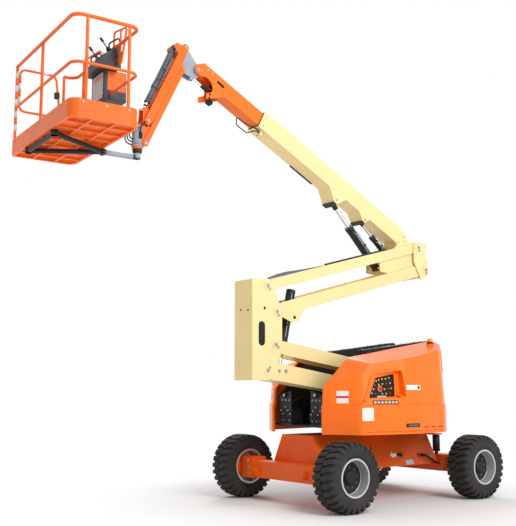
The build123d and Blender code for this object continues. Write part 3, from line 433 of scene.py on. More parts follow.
mesh = bmesh.new()
for side in (-1, 1):
    for x, z, half in ((-1.477, 1.6440, 0.160), (-1.3749, 1.6453, 0.168)):
        face = Vector((x, side * half, z))
        addRod(mesh, face, face + Vector((0, side * 0.004, 0)), 0.024, 0, 24)
        addBolt(mesh, face + Vector((0, side * 0.004, 0)), (0, side, 0), 0.014)
        foot = Vector((x - 0.012, side * 0.160, z - 0.052))
        addRod(mesh, foot, foot + Vector((0, side * 0.004, 0)), 0.011, 1, 16)
endPiece("lowerLinkBolts", mesh, "lower_link_2", ("boltSteel", "lowerCream"))

linkCover = {"start": 1.04, "end": 2.24, "inner": -0.143, "outer": -0.163, "low": 0.068, "high": 0.092}
mesh = bmesh.new()
addBox(mesh, (linkCover["start"], linkCover["outer"], linkCover["low"]),
       (linkCover["end"], linkCover["inner"], linkCover["high"]), 0, 0.003)
hump = [(0.06, 0.069), (0.10, 0.094), (0.20, 0.112), (0.36, 0.112), (0.62, 0.094), (1.03, 0.072),
        (1.03, 0.069)]
addPrism(mesh, hump, -0.160, -0.100, 1)
endPiece("upperLinkCover", mesh, "upper_link_1", ("satinBlack", "slateGrey"), upperPlace)

towerPlace = ramFrame(pivots["towerTrunnion"], pivots["towerEye"])
towerRings = ((0.318, 0.334, 0.066), (-0.375, -0.366, 0.058))  # start, end and radius
mesh = bmesh.new()
for start, end, radius in towerRings:
    addRod(mesh, (0, 0, start), (0, 0, end), radius, 0, 32)
pipe = rounded([(0.058, 0.030, -0.30), (0.080, 0.036, -0.30), (0.080, 0.036, 0.26), (0.058, 0.030, 0.26)],
               0.018)
addTube(mesh, pipe, 0.006, 1)
for height in (-0.16, 0.10):
    addBox(mesh, (0.052, 0.020, height - 0.010), (0.088, 0.048, height + 0.010), 0, 0.002)
endPiece("towerCylinderDetails", mesh, "tower_barrel", ("satinBlack", "paleGrey"), towerPlace)
print("tower dressed")

# main boom: lug ends, side strip, tip pads and bolts
pads = {"back": 2.900, "front": 2.9205, "half": 0.085}
mesh = bmesh.new()
for outline, half in (([(1.414, -0.138), (1.345, -0.144), (1.345, -0.168), (1.424, -0.160)], 0.107),
                      ([(0.855, -0.079), (0.795, -0.083), (0.795, -0.103), (0.864, -0.099)], 0.107)):
    addPrism(mesh, outline, -half, half, 0)
addBox(mesh, (1.70, 0.104, -0.008), (2.13, 0.1225, 0.0045), 0, 0.002)
for s in (2.79, 2.88):
    for y in (-0.06, 0.06):
        addBolt(mesh, (s, y, 0.005), (0, 0, -1), 0.009, 1)
        addBolt(mesh, (s, y, 0.240), (0, 0, 1), 0.009, 1)
for side in (-1, 1):
    for s, t in ((2.86, 0.06), (2.86, 0.18), (-0.02, 0.12), (0.05, 0.16), (0.02, -0.05)):
        addBolt(mesh, (s, side * 0.120, t), (0, side, 0), 0.007, 1)
    addBox(mesh, (pads["back"], side * 0.0955, 0.036), (pads["front"], side * 0.1105, 0.209), 2)
for low, high in ((0.0145, 0.0295), (0.2155, 0.2305)):
    addBox(mesh, (pads["back"], -pads["half"], low), (pads["front"], pads["half"], high), 2)
endPiece("boomDetails", mesh, "main_boom", ("satinBlack", "boltSteel", "matteBlack"), boomPlace)

mesh = bmesh.new()
for side in (-1, 1):
    for s, t in ((3.700, -0.085), (3.690, -0.132)):
        addRod(mesh, (s - 0.006, side * 0.095, t), (s - 0.006, side * 0.0962, t), 0.014, 0, 24)
    for s, t in ((3.78, 0.17), (3.86, 0.17), (3.93, 0.10)):
        addBolt(mesh, (s, side * 0.095, t), (0, side, 0), 0.008, 1)
window = [(3.563, 0.108), (3.684, 0.114), (3.686, 0.148), (3.566, 0.144)]
for inner, outer in ((0.0875, 0.0890), (-0.0890, -0.0875)):
    addPrism(mesh, window, inner, outer, 0)
addBox(mesh, (3.585, -0.040, -0.150), (3.655, 0.040, -0.098), 0, 0.006)
addRod(mesh, (3.62, 0, -0.098), (3.645, 0, -0.040), 0.012, 0, 16)
endPiece("flyDetails", mesh, "fly_boom", ("matteBlack", "boltSteel"), boomPlace)

rams = {
    "liftCylinder": {"barrel": "lift_barrel", "rod": "lift_rod", "foot": "liftFoot", "eye": "liftEye",
                     "end": 0.740, "radius": 0.055, "collar": (0.135, 0.035, 0.036)},
    "masterCylinder": {"barrel": "master_barrel", "rod": "master_rod", "foot": "masterFoot",
                       "eye": "masterEye",
                       "end": 0.430, "radius": 0.036, "collar": (0.085, 0.028, 0.025)},
    "jibCylinder": {"barrel": "jib_barrel", "rod": "jib_rod", "foot": "jibFoot", "eye": "jibEye",
                    "end": 0.620, "radius": 0.034, "collar": (0.060, 0.026, 0.022), "sleeve": 0.840,
                    "looks": ("slateGrey", "slateGrey", "slateGrey")},
}
for name, ram in rams.items():
    foot, eye = pivots[ram["foot"]], pivots[ram["eye"]]
    place = ramFrame(foot, eye)
    run = hypot(eye[0] - foot[0], eye[1] - foot[1])
    radius, end = ram["radius"], ram["end"]
    mesh = bmesh.new()
    addRod(mesh, (0, 0, end - 0.045), (0, 0, end + 0.006), radius + 0.006, 0, 36)
    addRod(mesh, (0, 0, end - 0.075), (0, 0, end - 0.070), radius + 0.004, 0, 36)
    addRod(mesh, (0, 0, 0.07), (0, 0, 0.10), radius + 0.004, 0, 36)
    out = radius + 0.016
    for side in (-1, 1):
        line = rounded([(radius - 0.004, side * 0.020, end - 0.09), (out + 0.012, side * 0.020, end - 0.11),
                        (out, side * 0.020, 0.34 * end), (radius - 0.004, side * 0.020, 0.20 * end)], 0.03)
        addTube(mesh, line, 0.0055, 1)
    clip = 0.55 * end
    addBox(mesh, (radius - 0.004, -0.030, clip - 0.010), (out + 0.012, 0.030, clip + 0.010), 0, 0.002)
    if "sleeve" in ram:
        addRod(mesh, (0, 0, end - 0.02), (0, 0, ram["sleeve"]), radius - 0.001, 2, 36)
        addRod(mesh, (0, 0, ram["sleeve"] - 0.030), (0, 0, ram["sleeve"]), radius + 0.003, 0, 36)
    names = ram.get("looks", ("satinBlack", "paleGrey", "slateGrey"))
    endPiece(name + "Fittings", mesh, ram["barrel"], names, place)
    mesh = bmesh.new()
    reach, inner, collar = ram["collar"]
    addRod(mesh, (0, 0, run - reach), (0, 0, run - inner), collar, 0, 32)
    endPiece(name + "Collar", mesh, ram["rod"], ("satinBlack",), place)
print("booms and cylinders dressed")

# jib end: rotary actuator, its flanges and fittings, and the pale sleeve on the platform's arm
rotary = {"radius": 0.0650, "low": -0.105, "flange": 0.072, "flangeTall": 0.018, "flangesAt": (-0.118, 0.100),
          "bolts": 8, "boltCircle": 0.058, "bolt": 0.005}
rx, rz = pivots["rotator"]
mesh = bmesh.new()
addRod(mesh, (rx, 0, rz + rotary["low"]), (rx, 0, rz + rotary["flangesAt"][1]), rotary["radius"], 0, 40)
for height in rotary["flangesAt"]:
    addRod(mesh, (rx, 0, rz + height), (rx, 0, rz + height + rotary["flangeTall"]), rotary["flange"], 0, 40)
    onTop = height > 0
    for i in range(rotary["bolts"]):
        turn = tau * i / rotary["bolts"]
        x, y = rx + rotary["boltCircle"] * cos(turn), rotary["boltCircle"] * sin(turn)
        seat = rz + height + (rotary["flangeTall"] if onTop else 0)
        addBolt(mesh, (x, y, seat), (0, 0, 1 if onTop else -1), rotary["bolt"], 2)
for side in (-1, 1):
    addBox(mesh, (rx - 0.020, side * 0.064, rz - 0.030), (rx + 0.020, side * 0.086, rz + 0.045), 1, 0.004)
    bend = rounded([(rx, side * 0.078, rz + 0.030), (rx - 0.020, side * 0.100, rz + 0.100),
                    (rx + 0.070, side * 0.085, rz + 0.190), (rx + 0.085, side * 0.062, rz + 0.130)], 0.04)
    addTube(mesh, bend, 0.008, 1)
for i, (out, drop) in enumerate(((0.100, 0.02), (0.118, 0.05), (0.136, 0.08))):
    y = -0.030 + 0.030 * i
    loop = rounded([(rx - 0.050, y, rz + 0.090), (rx - out, y, rz + 0.110),
                    (rx - out - 0.02, y * 0.5, rz - drop),
                    (rx - 0.050, y * 0.4, rz - drop - 0.02)], 0.05)
    addTube(mesh, loop, 0.0075, 1)
addBox(mesh, (rx - 0.075, -0.045, rz + 0.060), (rx - 0.045, 0.045, rz + 0.100), 1, 0.004)
endPiece("rotaryActuator", mesh, "jib_end", ("paleGrey", "rubberHose", "boltSteel"))
mesh = bmesh.new()
armPlace = machine @ Matrix.Translation((rx, 0, 0)) @ standTurn
addRod(mesh, (-0.060, 0, 4.061), (-0.425, 0, 4.061), 0.0300, 0, 32)
addRod(mesh, (0, 0, 4.048), (0, 0, 4.112), 0.0400, 0, 36)
addBox(mesh, (-0.44, -0.050, 4.030), (-0.40, 0.050, 4.0905), 1, 0.004)
for side in (-1, 1):
    addRod(mesh, (-1.1377, side * 0.405, 4.033), (-1.1377, side * 0.405, 4.0895), 0.0400, 1, 32)
endPiece("platformArmSleeve", mesh, "platform", ("paleGrey", "satinBlack"), armPlace)

# platform: tape, control box faces, console keys and sticks
def addBands(mesh, start, end, radius, count, first=0):
    start, end = Vector(start), Vector(end)
    for i in range(count):
        addRod(mesh, start.lerp(end, i / count), start.lerp(end, (i + 1) / count), radius, (i + first) % 2,
               24)


tape = {"post": (-0.358, 0.893), "postRadius": 0.0178, "gateRadius": 0.0149}
mesh = bmesh.new()
for low, high, count in ((0.60, 1.02, 5), (0.30, 0.54, 3)):
    addBands(mesh, (*tape["post"], low), (*tape["post"], high), tape["postRadius"], count)
endPiece("postTape", mesh, "platform", ("tapeWhite", "railOrange"), standPlace)
mesh = bmesh.new()
addBands(mesh, (-0.322, 0.896, 0.64), (-0.322, 0.896, 0.97), tape["gateRadius"], 4)
addBands(mesh, (-0.05, 0.896, 1.06), (0.02, 0.896, 1.06), tape["gateRadius"], 1)
addBox(mesh, (0.10, 0.874, 0.78), (0.16, 0.918, 0.86), 2, 0.006)
endPiece("gateTape", mesh, "gate", ("tapeWhite", "railOrange", "satinBlack"), standPlace)

mesh = bmesh.new()
addBox(mesh, (0.2872, -0.136, 0.540), (0.2902, 0.180, 0.838), 0, 0.001)
addBox(mesh, (0.2862, -0.132, 0.782), (0.2874, 0.176, 0.794), 1)
addBox(mesh, (0.325, -0.1608, 0.625), (0.548, -0.1578, 0.842), 1, 0.001)
addBox(mesh, (0.325, -0.1604, 0.540), (0.548, -0.1578, 0.618), 2, 0.001)
addBox(mesh, (0.2885, -0.1595, 0.513), (0.5565, -0.1578, 0.530), 3)
for y in (-0.120, 0.166):
    for z in (0.556, 0.822):
        addBolt(mesh, (0.2872, y, z), (-1, 0, 0), 0.004, 3)
addBox(mesh, (0.2862, -0.132, 0.766), (0.2874, 0.176, 0.772), 1)
for y in (-0.140, 0.176):
    addBox(mesh, (0.2850, y, 0.530), (0.2905, y + 0.010, 0.846), 2, 0.001)
endPiece("controlBoxFaces", mesh, "platform", ("signGrey", "railOrange", "consoleGrey", "satinBlack"),
         standPlace)

console = {"edge": (0.205, 0, 0.950), "slant": -45}
slant = Matrix.Translation(console["edge"]) @ Matrix.Rotation(radians(console["slant"]), 4, "Y")
mesh = bmesh.new()
addBox(mesh, (0.020, -0.262, 0.000), (0.248, 0.197, 0.003), 0, 0.001)
for y, size in ((-0.190, 0.030), (0.120, 0.030)):
    addRod(mesh, (0.165, y, 0.003), (0.165, y, 0.040), size, 1, 28, 0.014)
    addRod(mesh, (0.165, y, 0.038), (0.172, y, 0.120), 0.007, 1, 16)
    addRod(mesh, (0.172, y, 0.112), (0.176, y, 0.165), 0.016, 1, 24, 0.013)
switchRows = ((0.060, (-0.23, -0.18, -0.13, -0.08, -0.03, 0.02, 0.07, 0.12)),
              (0.110, (-0.10, -0.05, 0.0, 0.05)))
for row, across in switchRows:
    for y in across:
        addRod(mesh, (row, y, 0.003), (row, y, 0.008), 0.011, 1, 18)
        addRod(mesh, (row, y, 0.008), (row + 0.004, y, 0.024), 0.004, 3, 10)
addRod(mesh, (0.10, 0.165, 0.003), (0.10, 0.165, 0.012), 0.024, 4, 28)
addRod(mesh, (0.10, 0.165, 0.012), (0.10, 0.165, 0.028), 0.019, 2, 28, 0.016)
addBox(mesh, (0.20, -0.06, 0.003), (0.235, 0.05, 0.0042), 5)
endPiece("consoleKeys", mesh, "platform",
         ("matteBlack", "satinBlack", "signRed", "boltSteel", "signYellow", "signWhite"),
         standPlace @ slant)
mesh = bmesh.new()
for i, y in enumerate((-0.13, -0.10, -0.07, 0.14)):
    cable = rounded([(0.375, y, 0.950), (0.400, y - 0.02, 0.905), (0.372, y + 0.01 * i, 0.870),
                     (0.392, y, 0.850)], 0.03)
    addTube(mesh, cable, 0.0065, 0)
for y in (-0.285, 0.220):
    addTube(mesh, rounded([(0.290, y, 1.030), (0.270, y, 1.100), (0.400, y, 1.200), (0.412, y, 1.120)], 0.04),
            0.009, 0)
endPiece("consoleCables", mesh, "platform", ("rubberHose",), standPlace)
toeBolts = {"height": 0.16, "radius": 0.006, "long": 0.381, "longAt": (-0.80, -0.40, 0.0, 0.40, 0.80),
            "short": -0.916, "shortAt": (-0.25, 0.0, 0.25)}
mesh = bmesh.new()
for y in toeBolts["longAt"]:
    for side in (-1, 1):
        addBolt(mesh, (side * toeBolts["long"], y, toeBolts["height"]), (side, 0, 0), toeBolts["radius"])
for x in toeBolts["shortAt"]:
    addBolt(mesh, (x, toeBolts["short"], toeBolts["height"]), (0, -1, 0), toeBolts["radius"])
endPiece("toeBoardBolts", mesh, "platform", ("boltSteel",), standPlace)

mesh = bmesh.new()
handle = rounded([(-0.150, 0.905, 0.194), (-0.150, 0.905, 0.330), (0.020, 0.905, 0.330),
                  (0.020, 0.905, 0.194)],
                 0.03)
addTube(mesh, handle, 0.008, 0)
addTube(mesh, rounded([(-0.110, 0.905, 0.322), (-0.080, 0.905, 0.300), (-0.030, 0.905, 0.292)], 0.03), 0.011,
        1)
endPiece("stepHandle", mesh, "platform", ("railOrange", "satinBlack"), standPlace)
print("platform dressed")

# wheels: a matte black dish over the rim's disc, partly the hub's own black and partly painted shade of the deep
# rim, then the black hub cap, nuts and valve
wheelSides = {"rear_right": (-1.17, -1), "rear_left": (-1.17, 1), "front_right": (1.17, -1),
              "front_left": (1.17, 1)}
hub = {"out": 1.005, "height": 0.410, "nuts": 9, "nutCircle": 0.118, "seat": 0.0315,
       "dish": [(0.086, 0.0285), (0.086, 0.0315), (0.154, 0.0315), (0.182, 0.0480), (0.182, 0.0450)],
       "cap": [(0.0865, 0.030), (0.0805, 0.056), (0.0650, 0.086), (0.055, 0.090), (0.004, 0.091)],
       "valve": ((0.172, 0, 0.022), (0.182, 0, 0.070))}
for name, (x, side) in wheelSides.items():
    mesh = bmesh.new()
    facing = Vector((0, side, 0)).to_track_quat("Z", "X").to_matrix().to_4x4()
    facing = Matrix.Translation((x, side * hub["out"], hub["height"])) @ facing
    # the matte black dish is partly the hub's own black and partly painted shade inside the rim
    addSpin(mesh, hub["dish"], facing, 0)
    addSpin(mesh, hub["cap"], facing, 0)
    for i in range(hub["nuts"]):
        turn = tau * i / hub["nuts"]
        around = facing @ Vector((hub["nutCircle"] * cos(turn), hub["nutCircle"] * sin(turn), hub["seat"]))
        seat, top, stud = (around + Vector((0, side * out, 0)) for out in (0.006, 0.020, 0.028))
        addRod(mesh, around, seat, 0.016, 1, 20, 0.013)
        addRod(mesh, seat, top, 0.0105, 1, 6)
        addRod(mesh, top, stud, 0.006, 1, 12)
    root, tip = (facing @ Vector(end) for end in hub["valve"])
    addRod(mesh, root, tip, 0.005, 2, 12)
    label = "wheelCentre" + name.title().replace("_", "")
    endPiece(label, mesh, "wheel_" + name, ("matteBlack", "slateGrey", "rubberHose"))

# tyres: a rounded carcass and two staggered rows of slanting bar lugs
tread = {"lugs": 28, "share": 0.62, "slant": 0.10, "half": 0.165, "middleWide": 1.1, "taper": 0.25}
carcass = [(0.206, 0.137), (0.226, 0.137), (0.232, 0.150), (0.262, 0.160), (0.300, 0.1635), (0.345, 0.158),
           (0.370, 0.144), (0.383, 0.118), (0.388, 0.060), (0.388, 0.0)]
carcass += [(radius, -y) for radius, y in carcass[-2::-1]]
lugShape = [(0.006, 0.380), (0.006, 0.4095), (0.070, 0.4095), (0.122, 0.4085), (0.147, 0.398), (0.163, 0.368),
            (0.1645, 0.334), (0.1600, 0.318), (0.138, 0.352)]


def addLug(mesh, middle, row):
    width = pi / tread["lugs"] * tread["share"]
    faces = []
    for edge in (-width, width):
        ring = []
        for y, radius in lugShape:
            wide = tread["middleWide"] - tread["taper"] * y / tread["half"]
            turn = middle + tread["slant"] * row * y / tread["half"] + edge * wide
            ring.append(mesh.verts.new((radius * cos(turn), row * y, radius * sin(turn))))
        faces.append(ring)
    first, last = faces
    mesh.faces.new(first)
    mesh.faces.new(last[::-1])
    for i in range(len(first)):
        j = (i + 1) % len(first)
        mesh.faces.new((first[i], last[i], last[j], first[j]))


def addCarcass(mesh, sides=96):
    rings = []
    for i in range(sides):
        turn = tau * i / sides
        rings.append([mesh.verts.new((radius * cos(turn), y, radius * sin(turn))) for radius, y in carcass])
    for i in range(sides):
        first, last = rings[i], rings[(i + 1) % sides]
        for k in range(len(carcass)):
            m = (k + 1) % len(carcass)
            mesh.faces.new((first[k], first[m], last[m], last[k]))
    addFaces(mesh, [vert for ring in rings for vert in ring], 0, True)


for name, (x, side) in wheelSides.items():
    mesh = bmesh.new()
    addCarcass(mesh)
    for row in (-1, 1):
        for i in range(tread["lugs"]):
            addLug(mesh, tau * (i + (0.5 if row > 0 else 0)) / tread["lugs"], row)
    middle = boxMiddle("tyre_" + name)
    label = "tyre" + name.title().replace("_", "")
    tyre = endPiece(label, mesh, "wheel_" + name, ("tyreRubber",), Matrix.Translation(middle))
    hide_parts("tyre_" + name)
print("tyres treaded")

# chassis: direction arrows, plates and bolts on the sloping sides
slope = {"half": 0.290, "top": 0.845, "out": 0.894, "up": 0.447}  # the side falls 2 to 1 from its top edge


def sidePoint(x, z, out, side=-1):
    y = slope["half"] + (slope["top"] - z) / 2
    return Vector((x, side * (y + slope["out"] * out), z + slope["up"] * out))


def addSidePlate(mesh, points, paintIndex, out=0.0012, side=-1):
    low = [mesh.verts.new(sidePoint(x, z, 0.0002, side)) for x, z in points]
    high = [mesh.verts.new(sidePoint(x, z, out, side)) for x, z in points]
    mesh.faces.new(low)
    mesh.faces.new(high[::-1])
    for i in range(len(points)):
        j = (i + 1) % len(points)
        mesh.faces.new((low[i], high[i], high[j], low[j]))
    addFaces(mesh, low + high, paintIndex)


mesh = bmesh.new()
arrow = [(0.00, 0.0), (0.052, 0.045), (0.052, 0.020), (0.118, 0.020), (0.118, -0.020), (0.052, -0.020),
         (0.052, -0.045)]
sideBolts = ((0.683, 0.445), (-0.06, 0.650), (-0.05, 0.560), (0.90, 0.80), (0.90, 0.50), (-0.98, 0.80),
             (-0.98, 0.50))
for side in (-1, 1):
    addSidePlate(mesh, [(0.158 + x, 0.562 + z) for x, z in arrow], 0, side=side)
    addSidePlate(mesh, [(0.402 - x, 0.562 + z) for x, z in arrow], 1, side=side)
    addSidePlate(mesh, [(0.405, 0.437), (0.550, 0.437), (0.550, 0.492), (0.405, 0.492)], 2, side=side)
    for x, z in sideBolts:
        spot, ahead = sidePoint(x, z, 0.0, side), Vector((0, side * slope["out"], slope["up"]))
        addBolt(mesh, spot, ahead, 0.010, 3)
    addRod(mesh, sidePoint(-0.137, 0.667, -0.016, side), sidePoint(-0.137, 0.667, -0.012, side), 0.0155, 1,
           24)
endPiece("chassisPlates", mesh, "chassis", ("signWhite", "matteBlack", "signGrey", "boltSteel"))
axleFace = {"x": 1.285, "bolt": 0.012}
steerEnds = {"x": 1.385, "y": 0.26, "z": 0.417, "circle": 0.026, "bolts": 6, "bolt": 0.005}
mesh = bmesh.new()
for y in (0.740, -0.740):
    for z in (0.33, 0.41, 0.49):
        addBolt(mesh, (-axleFace["x"], y, z), (-1, 0, 0), axleFace["bolt"], 0)
for y in (-0.50, -0.42, 0.42, 0.50):
    for z in (0.35, 0.50):
        addBolt(mesh, (axleFace["x"], y, z), (1, 0, 0), axleFace["bolt"], 0)
for side in (-1, 1):
    for i in range(steerEnds["bolts"]):
        turn = tau * i / steerEnds["bolts"]
        x, z = steerEnds["x"] + steerEnds["circle"] * cos(turn), steerEnds["z"] + steerEnds["circle"] * sin(turn)
        addBolt(mesh, (x, side * steerEnds["y"], z), (0, side, 0), steerEnds["bolt"], 0)
lockout = {"x": 1.10, "y": 0.405}
for side in (-1, 1):
    x, y = lockout["x"], side * lockout["y"]
    addRod(mesh, (x, y, 0.577), (x, y, 0.590), 0.054, 1, 32)
    addRod(mesh, (x, y, 0.590), (x, y, 0.790), 0.050, 1, 32)
    pipe = rounded([(1.055, y, 0.60), (1.035, y, 0.62), (1.035, y, 0.76), (1.055, y, 0.78)], 0.015)
    addTube(mesh, pipe, 0.006, 1)
endPiece("axleBolts", mesh, "chassis", ("boltSteel", "satinBlack"))
print("wheels and chassis dressed")

# hoods: thin plates laid on their skins by casting a grid of points onto them, from outside
outside = 1.4  # metres from the machine's middle


def hoodSide(hoodName):
    return -1 if hoodName == "hood_right" else 1


def addLaid(mesh, hood, start, across, up, toward, columns, rows, lift, thick, paintIndex):
    rings = []
    for height in (lift, lift + thick):
        ring = []
        for j in range(rows + 1):
            line = []
            for i in range(columns + 1):
                origin = start + across * (i / columns) + up * (j / rows)
                hit, place = hood.ray_cast(origin, toward)[:2]
                line.append(mesh.verts.new((place if hit else origin) - toward * height))
            ring.append(line)
        rings.append(ring)
    low, high = rings
    for j in range(rows):
        for i in range(columns):
            mesh.faces.new((high[j][i], high[j][i + 1], high[j + 1][i + 1], high[j + 1][i]))
            mesh.faces.new((low[j][i], low[j + 1][i], low[j + 1][i + 1], low[j][i + 1]))
    edge = ([(0, i) for i in range(columns)] + [(j, columns) for j in range(rows)]
            + [(rows, i) for i in range(columns, 0, -1)] + [(j, 0) for j in range(rows, 0, -1)])
    for (j, i), (m, n) in zip(edge, edge[1:] + edge[:1]):
        mesh.faces.new((low[j][i], low[m][n], high[m][n], high[j][i]))
    addFaces(mesh, [vert for ring in rings for line in ring for vert in line], paintIndex)


def layPlate(mesh, hoodName, x0, x1, z0, z1, paintIndex, thick=0.0012, lift=0.0004, columns=6, rows=3):
    side = hoodSide(hoodName)
    start = Vector((axleMiddle.x + x0, side * outside, z0))
    addLaid(mesh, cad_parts[hoodName], start, Vector((x1 - x0, 0, 0)), Vector((0, 0, z1 - z0)),
            Vector((0, -side, 0)), columns, rows, lift, thick, paintIndex)


def layCorner(mesh, hoodName, middle, wide, z0, z1, paintIndex, thick=0.0012, lift=0.0004):
    side = hoodSide(hoodName)
    toward = Vector((0.83, -side * 0.555, 0)).normalized()
    across = Vector((toward.y, -toward.x, 0)) * wide
    start = Vector((axleMiddle.x + middle[0], side * middle[1], z0)) - toward * 0.5 - across / 2
    addLaid(mesh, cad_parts[hoodName], start, across, Vector((0, 0, z1 - z0)), toward, 6, 4, lift, thick,
            paintIndex)


still = Matrix.Identity(4)


def layRidge(mesh, hoodName, outline, radius, sunk, paintIndex=0):
    side = hoodSide(hoodName)
    path = []
    corners = rounded([(x, 0, z) for x, z in outline], 0.06)
    for first, last in zip(corners, corners[1:]):
        steps = max(1, round((last - first).length / 0.03))
        path += [first.lerp(last, i / steps) for i in range(steps)]
    points = []
    for point in path + [corners[-1]]:
        origin = Vector((axleMiddle.x + point.x, side * outside, point.z))
        hit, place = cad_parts[hoodName].ray_cast(origin, Vector((0, -side, 0)))[:2]
        if hit:
            points.append(place - Vector((0, side * sunk, 0)))
    addTube(mesh, points, radius, paintIndex, 16)


def layLatch(mesh, hoodName, handlePaint):
    layPlate(mesh, hoodName, -0.150, 0.080, 0.952, 0.998, 2, 0.006)
    layPlate(mesh, hoodName, -0.120, 0.050, 0.964, 0.986, handlePaint, 0.005, 0.0065)


def layBands(mesh, hoodName, middlePaint):
    for low, high, paintIndex in ((1.250, 1.312, 0), (1.312, 1.338, middlePaint), (1.338, 1.400, 0)):
        layCorner(mesh, hoodName, (-0.955, 0.715), 0.150, low, high, paintIndex)


slats = {"count": 9, "foot": 1.30, "pitch": 0.035, "tall": 0.012, "ends": (-0.45, 0.35)}
mesh = bmesh.new()
layPlate(mesh, "hood_right", -0.790, -0.630, 1.040, 1.196, 0)
layPlate(mesh, "hood_right", -0.110, 0.140, 1.412, 1.472, 0)
layPlate(mesh, "hood_right", 0.085, 0.125, 1.424, 1.460, 1, 0.0006, 0.0017, 2, 2)
layPlate(mesh, "hood_right", -0.630, -0.245, 1.236, 1.284, 2, 0.003)
for i in range(7):
    left = -0.615 + 0.053 * i
    layPlate(mesh, "hood_right", left, left + 0.038, 1.247, 1.273, 3 if i % 3 == 0 else 5, 0.0008, 0.0035, 2,
             2)
for left, right in ((0.180, 0.270), (0.330, 0.420), (0.480, 0.570)):
    layPlate(mesh, "hood_right", left, right, 0.938, 0.956, 4)
layLatch(mesh, "hood_right", 6)
layBands(mesh, "hood_right", 4)
endPiece("hoodRightPlates", mesh, "hood_right",
         ("signWhite", "matteBlack", "satinBlack", "signYellow", "signRed", "signGrey", "slateGrey"), still)
mesh = bmesh.new()
layBands(mesh, "hood_left", 1)
layLatch(mesh, "hood_left", 3)
for i in range(slats["count"]):
    low = slats["foot"] + slats["pitch"] * i
    high = slats["foot"] + slats["tall"] + slats["pitch"] * i
    layPlate(mesh, "hood_left", *slats["ends"], low, high, 2, 0.004, 0.0004, 12, 1)
endPiece("hoodLeftPlates", mesh, "hood_left", ("signWhite", "signRed", "satinBlack", "slateGrey"), still)

# mouldings: a creased frame on the right hood, two lines and a rolled lip on both; the lower line at the skirt
# is in the darker chassis orange as a painted shadow line
lip = [(0.908, -0.520, 2.020), (0.868, -0.655, 1.985), (0.838, -0.706, 1.930), (0.850, -0.712, 1.640)]
mouldings = {"hoodRightMoulding": ("hood_right", 1), "hoodLeftMoulding": ("hood_left", -1)}
for name, (hoodName, side) in mouldings.items():
    mesh = bmesh.new()
    if hoodName == "hood_right":
        layRidge(mesh, hoodName, [(-0.745, 1.270), (-0.605, 1.612), (-0.185, 1.672), (-0.160, 1.290)], 0.022,
                 0.006)
    # painted shadow line: this lower ridge takes the darker chassis orange to stand for the shadow along the
    # hood's skirt
    layRidge(mesh, hoodName, [(-0.730, 0.905), (0.560, 0.905)], 0.0065, 0.002, 1)
    layRidge(mesh, hoodName, [(-0.700, 1.228), (0.550, 1.228)], 0.0050, 0.002)
    addTube(mesh, rounded([shift + Vector((x, side * y, z)) for x, y, z in lip], 0.05), 0.046, 0, 24)
    endPiece(name, mesh, hoodName, ("hoodOrange", "chassisOrange"), still)

mesh = bmesh.new()
board = [(-0.700, 1.302), (-0.590, 1.585), (-0.205, 1.640), (-0.190, 1.315)]
panelFront = -0.887
addPrism(mesh, board, panelFront, -0.850, 0)
knobs = ((-0.545, 1.520, 1), (-0.500, 1.535, 1), (-0.440, 1.545, 1), (-0.380, 1.548, 1), (-0.320, 1.560, 1),
         (-0.565, 1.470, 2), (-0.500, 1.475, 1), (-0.435, 1.485, 1), (-0.370, 1.490, 2), (-0.300, 1.495, 3),
         (-0.590, 1.420, 3), (-0.520, 1.420, 2), (-0.400, 1.420, 1), (-0.330, 1.425, 2), (-0.280, 1.430, 1),
         (-0.620, 1.370, 3), (-0.560, 1.365, 2), (-0.440, 1.365, 3), (-0.370, 1.365, 1), (-0.300, 1.368, 2))
for x, z, paintIndex in knobs:
    addRod(mesh, (x, panelFront, z), (x, -0.890, z), 0.017, 4, 20)
    addRod(mesh, (x, -0.890, z), (x, -0.901, z), 0.011, paintIndex, 20, 0.009)
addRod(mesh, (-0.470, panelFront, 1.425), (-0.470, -0.892, 1.425), 0.036, 1, 28)
addRod(mesh, (-0.470, -0.892, 1.425), (-0.470, -0.912, 1.425), 0.026, 2, 28, 0.022)
addBox(mesh, (-0.52, -0.889, 1.318), (-0.36, -0.8865, 1.340), 3)
endPiece("groundControls", mesh, "turntable",
         ("matteBlack", "signYellow", "signRed", "signGrey", "satinBlack"))

mesh = bmesh.new()
dome = Matrix.Translation((0.760, -0.640, 2.026))
addSpin(mesh, [(0.045, 0.0), (0.045, 0.020), (0.040, 0.024)], dome, 0, 36)
lens = [(0.036, 0.024), (0.038, 0.032), (0.038, 0.058), (0.034, 0.068), (0.022, 0.0745), (0.004, 0.076)]
addSpin(mesh, lens, dome, 1, 36)
beaconLens = endPiece("beaconLens", mesh, "hood_right", ("satinBlack", "amberLens"))
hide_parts("beacon")

